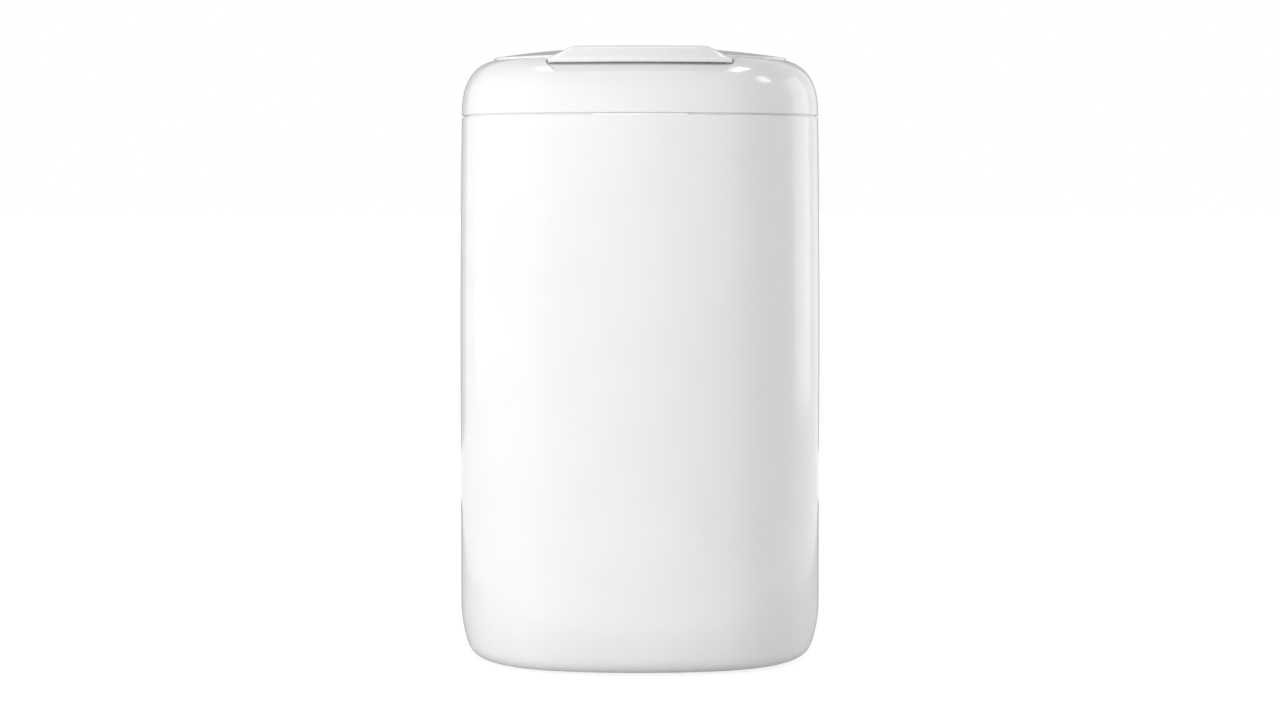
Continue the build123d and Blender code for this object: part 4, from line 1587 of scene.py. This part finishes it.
    def supports(self) -> Mesher:
        """Landing posts over the bumpers, and the rib that carries the cover.

        Returns:
            Their shells.
        """
        made = Mesher()
        for place in self.hinge.bumper_places:
            made.cylinder(self.post_radius, (self.under, self.under_dome(*place)), place, 48)
        stations = PLAN.stations(2.5)
        outer, inner = (outline(stations, self.rib_inset + extra) for extra in (0.0, self.rib_wall))
        tops = [at_height(ring, self.dome(ring[:, 0], ring[:, 1]) - self.root) for ring in (outer, inner)]
        lows = [at_height(ring, self.cover_height) for ring in (outer, inner)]
        made.shell(np.array([lows[0], *tops, lows[1]]), Ends.RING)
        return made

    def circle(self, radius: float) -> np.ndarray:
        """Circle round the hinge line, as rows of depth and height."""
        return np.array((self.hinge.hinge_y, self.hinge.hinge_height)) + on_circle(radius, full_turn(48))

    def web(self, half: float) -> Mesher:
        """Web between the dome and the barrel.

        Args:
            half: Half of its length.

        Returns:
            Its shell.
        """
        made = Mesher()
        low, back = self.hinge.hinge_height, self.hinge.hinge_y - 0.02
        front = self.hinge.hinge_y - self.hinge.barrel_radius
        loops = []
        for x in np.linspace(-half, half, 33):
            tops = [(x, y, self.under_dome(x, y)) for y in (back, front)]
            loops.append([(x, front, low), (x, back, low), *tops])
        made.shell(np.array(loops))
        return made

    def add_barrels(self, flap: Object) -> None:
        """Trims the back of the flap, and adds the web and the bored barrels.

        Args:
            flap: The flap.
        """
        hinge = self.hinge
        half, inner = hinge.hinge_half + hinge.ear_gap, hinge.hinge_half - hinge.ear_width - hinge.ear_gap
        trim, barrel, ears, bore = (Mesher() for _ in range(4))
        y, back, (low, high) = hinge.hinge_y, PLAN.rear_reach, self.trim_reach
        trim.bar(np.array([(y, low), (back, low), (back, high), (y, high)]), -half, half)
        barrel.bar(self.circle(hinge.barrel_radius), -inner, inner)
        reach = hinge.ear_width / 2 + hinge.ear_gap
        for middle in hinge.ear_places:
            ears.bar(self.circle(hinge.barrel_radius + hinge.ear_gap), middle - reach, middle + reach)
        bore.bar(self.circle(self.rod_bore), -half, half)
        join(flap, trim, Cut.REMOVE)
        join(flap, self.web(inner), Cut.ADD)
        join(flap, barrel, Cut.ADD)
        join(flap, ears, Cut.REMOVE)
        join(flap, bore, Cut.REMOVE)

    def cover(self) -> Object:
        """Flat plate that closes the underside, with a rounded edge, made by the node tree.

        Returns:
            The plate.
        """
        low, high = self.cover_height - self.cover_thickness, self.cover_height
        edge, middle = self.cover_inset, self.cover_inset + self.cover_run
        profile = rounded(((middle, low, 0.0), (edge, low, 0.6), (edge, high, 0.3), (middle, high, 0.0)))
        return swept_shell("flap_cover_plate", profile, 2.5, SATIN_WHITE)

    def build(self) -> None:
        """Builds and dresses the flap, its cover and its rod."""
        flap = self.plate(self.inset, 0.0, self.under, self.edge_rounding).solid("flap_moulding")
        hollow = self.plate(self.inset + self.skin, self.skin, self.hollow_bottom, self.hollow_rounding)
        join(flap, self.grip(), Cut.ADD)
        join(flap, hollow, Cut.REMOVE)
        join(flap, self.grip_void(), Cut.REMOVE)
        join(flap, self.supports(), Cut.ADD)
        self.add_barrels(flap)
        dress(flap, GLOSS_WHITE, Body.FLAP, ["flap_shell"])
        dress(self.cover(), SATIN_WHITE, Body.FLAP, ["flap_cover"])
        dress_node("hinge_rod", DRAWN_STEEL)


# Studio


def stage_sheet(name: str, corners: Sequence[Row]) -> tuple[Object, Nodes]:
    """Makes a flat sheet of the stage, with an empty material.

    Args:
        name: Name of the sheet and of its material.
        corners: Its four corners, in metres.

    Returns:
        The sheet, and the nodes of its material.
    """
    mesh, paint = bpy.data.meshes.new(name), bpy.data.materials.new(name)
    mesh.from_pydata(corners, [], [(0, 1, 2, 3)])
    mesh.materials.append(paint)
    paint.use_nodes = True
    made = new_object(name, mesh)
    return made, Nodes(paint.node_tree)


@dataclass(frozen=True)
class Softbox:
    """Area light aimed at the bin, in metres and watts."""

    name: str
    place: Row
    aim: Row
    size: Pair
    power: float
    lit: bool = True
    mirrored: bool = True

    def build(self) -> None:
        """Makes the light, which lights dull surfaces if lit and shows in reflections if mirrored."""
        lamp = bpy.data.lights.new(self.name, "AREA")
        lamp.shape, lamp.energy = "RECTANGLE", self.power
        lamp.size, lamp.size_y = self.size
        made = new_object(self.name, lamp)
        made.location = self.place
        made.rotation_euler = (Vector(self.place) - Vector(self.aim)).to_track_quat("Z", "Y").to_euler()
        made.visible_diffuse, made.visible_glossy = self.lit, self.mirrored


@dataclass(frozen=True)
class Flag:
    """Grey card that only reflections see, which draws the edges of a white object; lying under the object
    it is painted shade of the floor.
    """

    name: str
    place: Row
    size: Pair
    grey: float
    lying: bool = False

    def build(self) -> None:
        """Makes the card, which faces the front or lies on the floor."""
        (x, y, z), half, reach = self.place, self.size[0] / 2, self.size[1] / 2
        deep, rise = (reach, 0.0) if self.lying else (0.0, reach)
        near, far = (y - deep, z - rise), (y + deep, z + rise)
        corners = [(x - half, *near), (x + half, *near), (x + half, *far), (x - half, *far)]
        made, nodes = stage_sheet(self.name, corners)
        card = nodes.add("ShaderNodeEmission", color=(self.grey, self.grey, self.grey, 1.0), strength=1.0)
        nodes.add("ShaderNodeOutputMaterial", card.outputs[0])
        made.visible_camera = made.visible_diffuse = made.visible_shadow = False


@dataclass
class Studio:
    """Pale floor, soft lights, white surroundings and the camera of the photograph."""

    camera_place: Row = (0.0, -1.5445, 0.24733)
    camera_pitch: float = 3.341
    lens: float = 82.08
    sensor: float = 36.0
    clip: Pair = (0.05, 100.0)
    ambient: float = 0.38
    floor_grey: float = 0.8
    floor_pale: float = 0.9
    floor_half: float = 30.0
    shadow_floor: float = 0.7
    shadow_reach: Pair = (0.16, 0.7)
    floor_gain: float = 0.19
    softboxes: tuple[Softbox, ...] = (
        Softbox("left_key", (-1.7, -1.3, 0.6), (0.0, 0.0, 0.17), (1.2, 1.4), 18.0, mirrored=False),
        Softbox("front_fill", (-0.9, -2.2, 0.9), (0.0, 0.0, 0.17), (1.6, 1.2), 20.5, mirrored=False),
        Softbox("right_fill", (1.5, 0.9, 0.5), (0.0, 0.0, 0.17), (1.0, 1.0), 15.5, mirrored=False),
        Softbox("left_strip", (-1.8, 0.5, 0.6), (0.0, 0.0, 0.17), (0.9, 1.6), 2.0),
        Softbox("right_strip", (1.6, 0.8, 0.5), (0.0, 0.0, 0.17), (0.9, 1.4), 4.0),
        Softbox("top_left_strip", (-0.70, -0.02, 1.8), (-0.04, -0.05, 0.3), (0.42, 0.22), 2.3, lit=False),
        Softbox("top_right_strip", (0.79, -0.02, 1.8), (0.04, -0.05, 0.3), (0.60, 0.23), 3.7, lit=False),
        Softbox("seam_strip", (0.0, -0.375, 1.8), (0.0, -0.078, 0.285), (0.85, 0.15), 2.2, lit=False),
        Softbox("right_spot", (1.04, -0.17, 1.08), (0.03, -0.06, 0.3), (0.26, 0.26), 1.15, lit=False),
    )
    flags: tuple[Flag, ...] = (
        Flag("back_flag", (-0.25, 1.2, 0.35), (1.5, 1.1), 0.38),
        # Painted shade: a grey sheet under and behind the bin that only reflections see, in place of the
        # floor's shadow, so the bin's lower edge reflects darker.
        Flag("floor_flag", (0.0, 0.3, 0.0004), (0.7, 0.9), 0.38, lying=True),
    )

    def camera(self) -> None:
        """Makes the camera at the photograph's viewpoint."""
        data = bpy.data.cameras.new("photo_camera")
        data.lens, data.sensor_width = self.lens, self.sensor
        data.clip_start, data.clip_end = self.clip
        made = new_object("photo_camera", data)
        made.location = self.camera_place
        made.rotation_euler = (math.radians(90 - self.camera_pitch), 0.0, 0.0)
        bpy.context.scene.camera = made

    def floor(self) -> None:
        """Makes the floor, white to the camera and grey to the light, that keeps the shadow."""
        half = self.floor_half
        corners = [(-half, -half, 0.0), (half, -half, 0.0), (half, half, 0.0), (-half, half, 0.0)]
        nodes = stage_sheet("studio_floor", corners)[1]
        path = nodes.add("ShaderNodeLightPath").outputs
        dull, pale = (
            nodes.add("ShaderNodeBsdfDiffuse", color=(grey, grey, grey, 1.0)).outputs[0]
            for grey in (self.floor_grey, self.floor_pale)
        )
        gain = nodes.math("MULTIPLY_ADD", path["Is Camera Ray"], self.floor_gain, 1.0)
        white = nodes.add("ShaderNodeEmission", color=WHITE, strength=gain).outputs[0]
        place = nodes.add("ShaderNodeTexCoord").outputs["Object"]
        away = nodes.add("ShaderNodeVectorMath", place, operation="LENGTH").outputs["Value"]
        (near, far), least = self.shadow_reach, self.shadow_floor
        fade = nodes.add("ShaderNodeMapRange", away, from_min=near, from_max=far, to_min=least, to_max=1.0)
        shown = nodes.mix(fade.outputs["Result"], pale, white)
        sight = nodes.math("MAXIMUM", path["Is Camera Ray"], path["Is Glossy Ray"])
        nodes.add("ShaderNodeOutputMaterial", nodes.mix(sight, dull, shown))

    def surroundings(self) -> None:
        """Makes the world white to the camera and in reflections, and a plain soft light otherwise."""
        world = bpy.data.worlds.new("studio")
        bpy.context.scene.world = world
        world.use_nodes = True
        nodes = Nodes(world.node_tree)
        path = nodes.add("ShaderNodeLightPath").outputs
        soft, white = (
            nodes.add("ShaderNodeBackground", color=WHITE, strength=strength).outputs[0]
            for strength in (self.ambient, 1.0)
        )
        mirrored = nodes.math("MAXIMUM", path["Is Glossy Ray"], path["Is Transmission Ray"])
        seen = nodes.math("MAXIMUM", mirrored, path["Is Camera Ray"])
        nodes.add("ShaderNodeOutputWorld", nodes.mix(seen, soft, white))

    def build(self) -> None:
        """Builds the studio."""
        bpy.context.scene.view_settings.view_transform = "Standard"
        self.camera()
        self.floor()
        self.surroundings()
        for item in (*self.softboxes, *self.flags):
            item.build()


def main() -> None:
    """Builds the studio and every sub-assembly in order."""
    logging.basicConfig(level=logging.INFO, format="%(message)s")
    Studio().build()
    Container().build()
    BagRing().build()
    LidFrame().build()
    Flap().build()


if __name__ == "__main__":
    main()
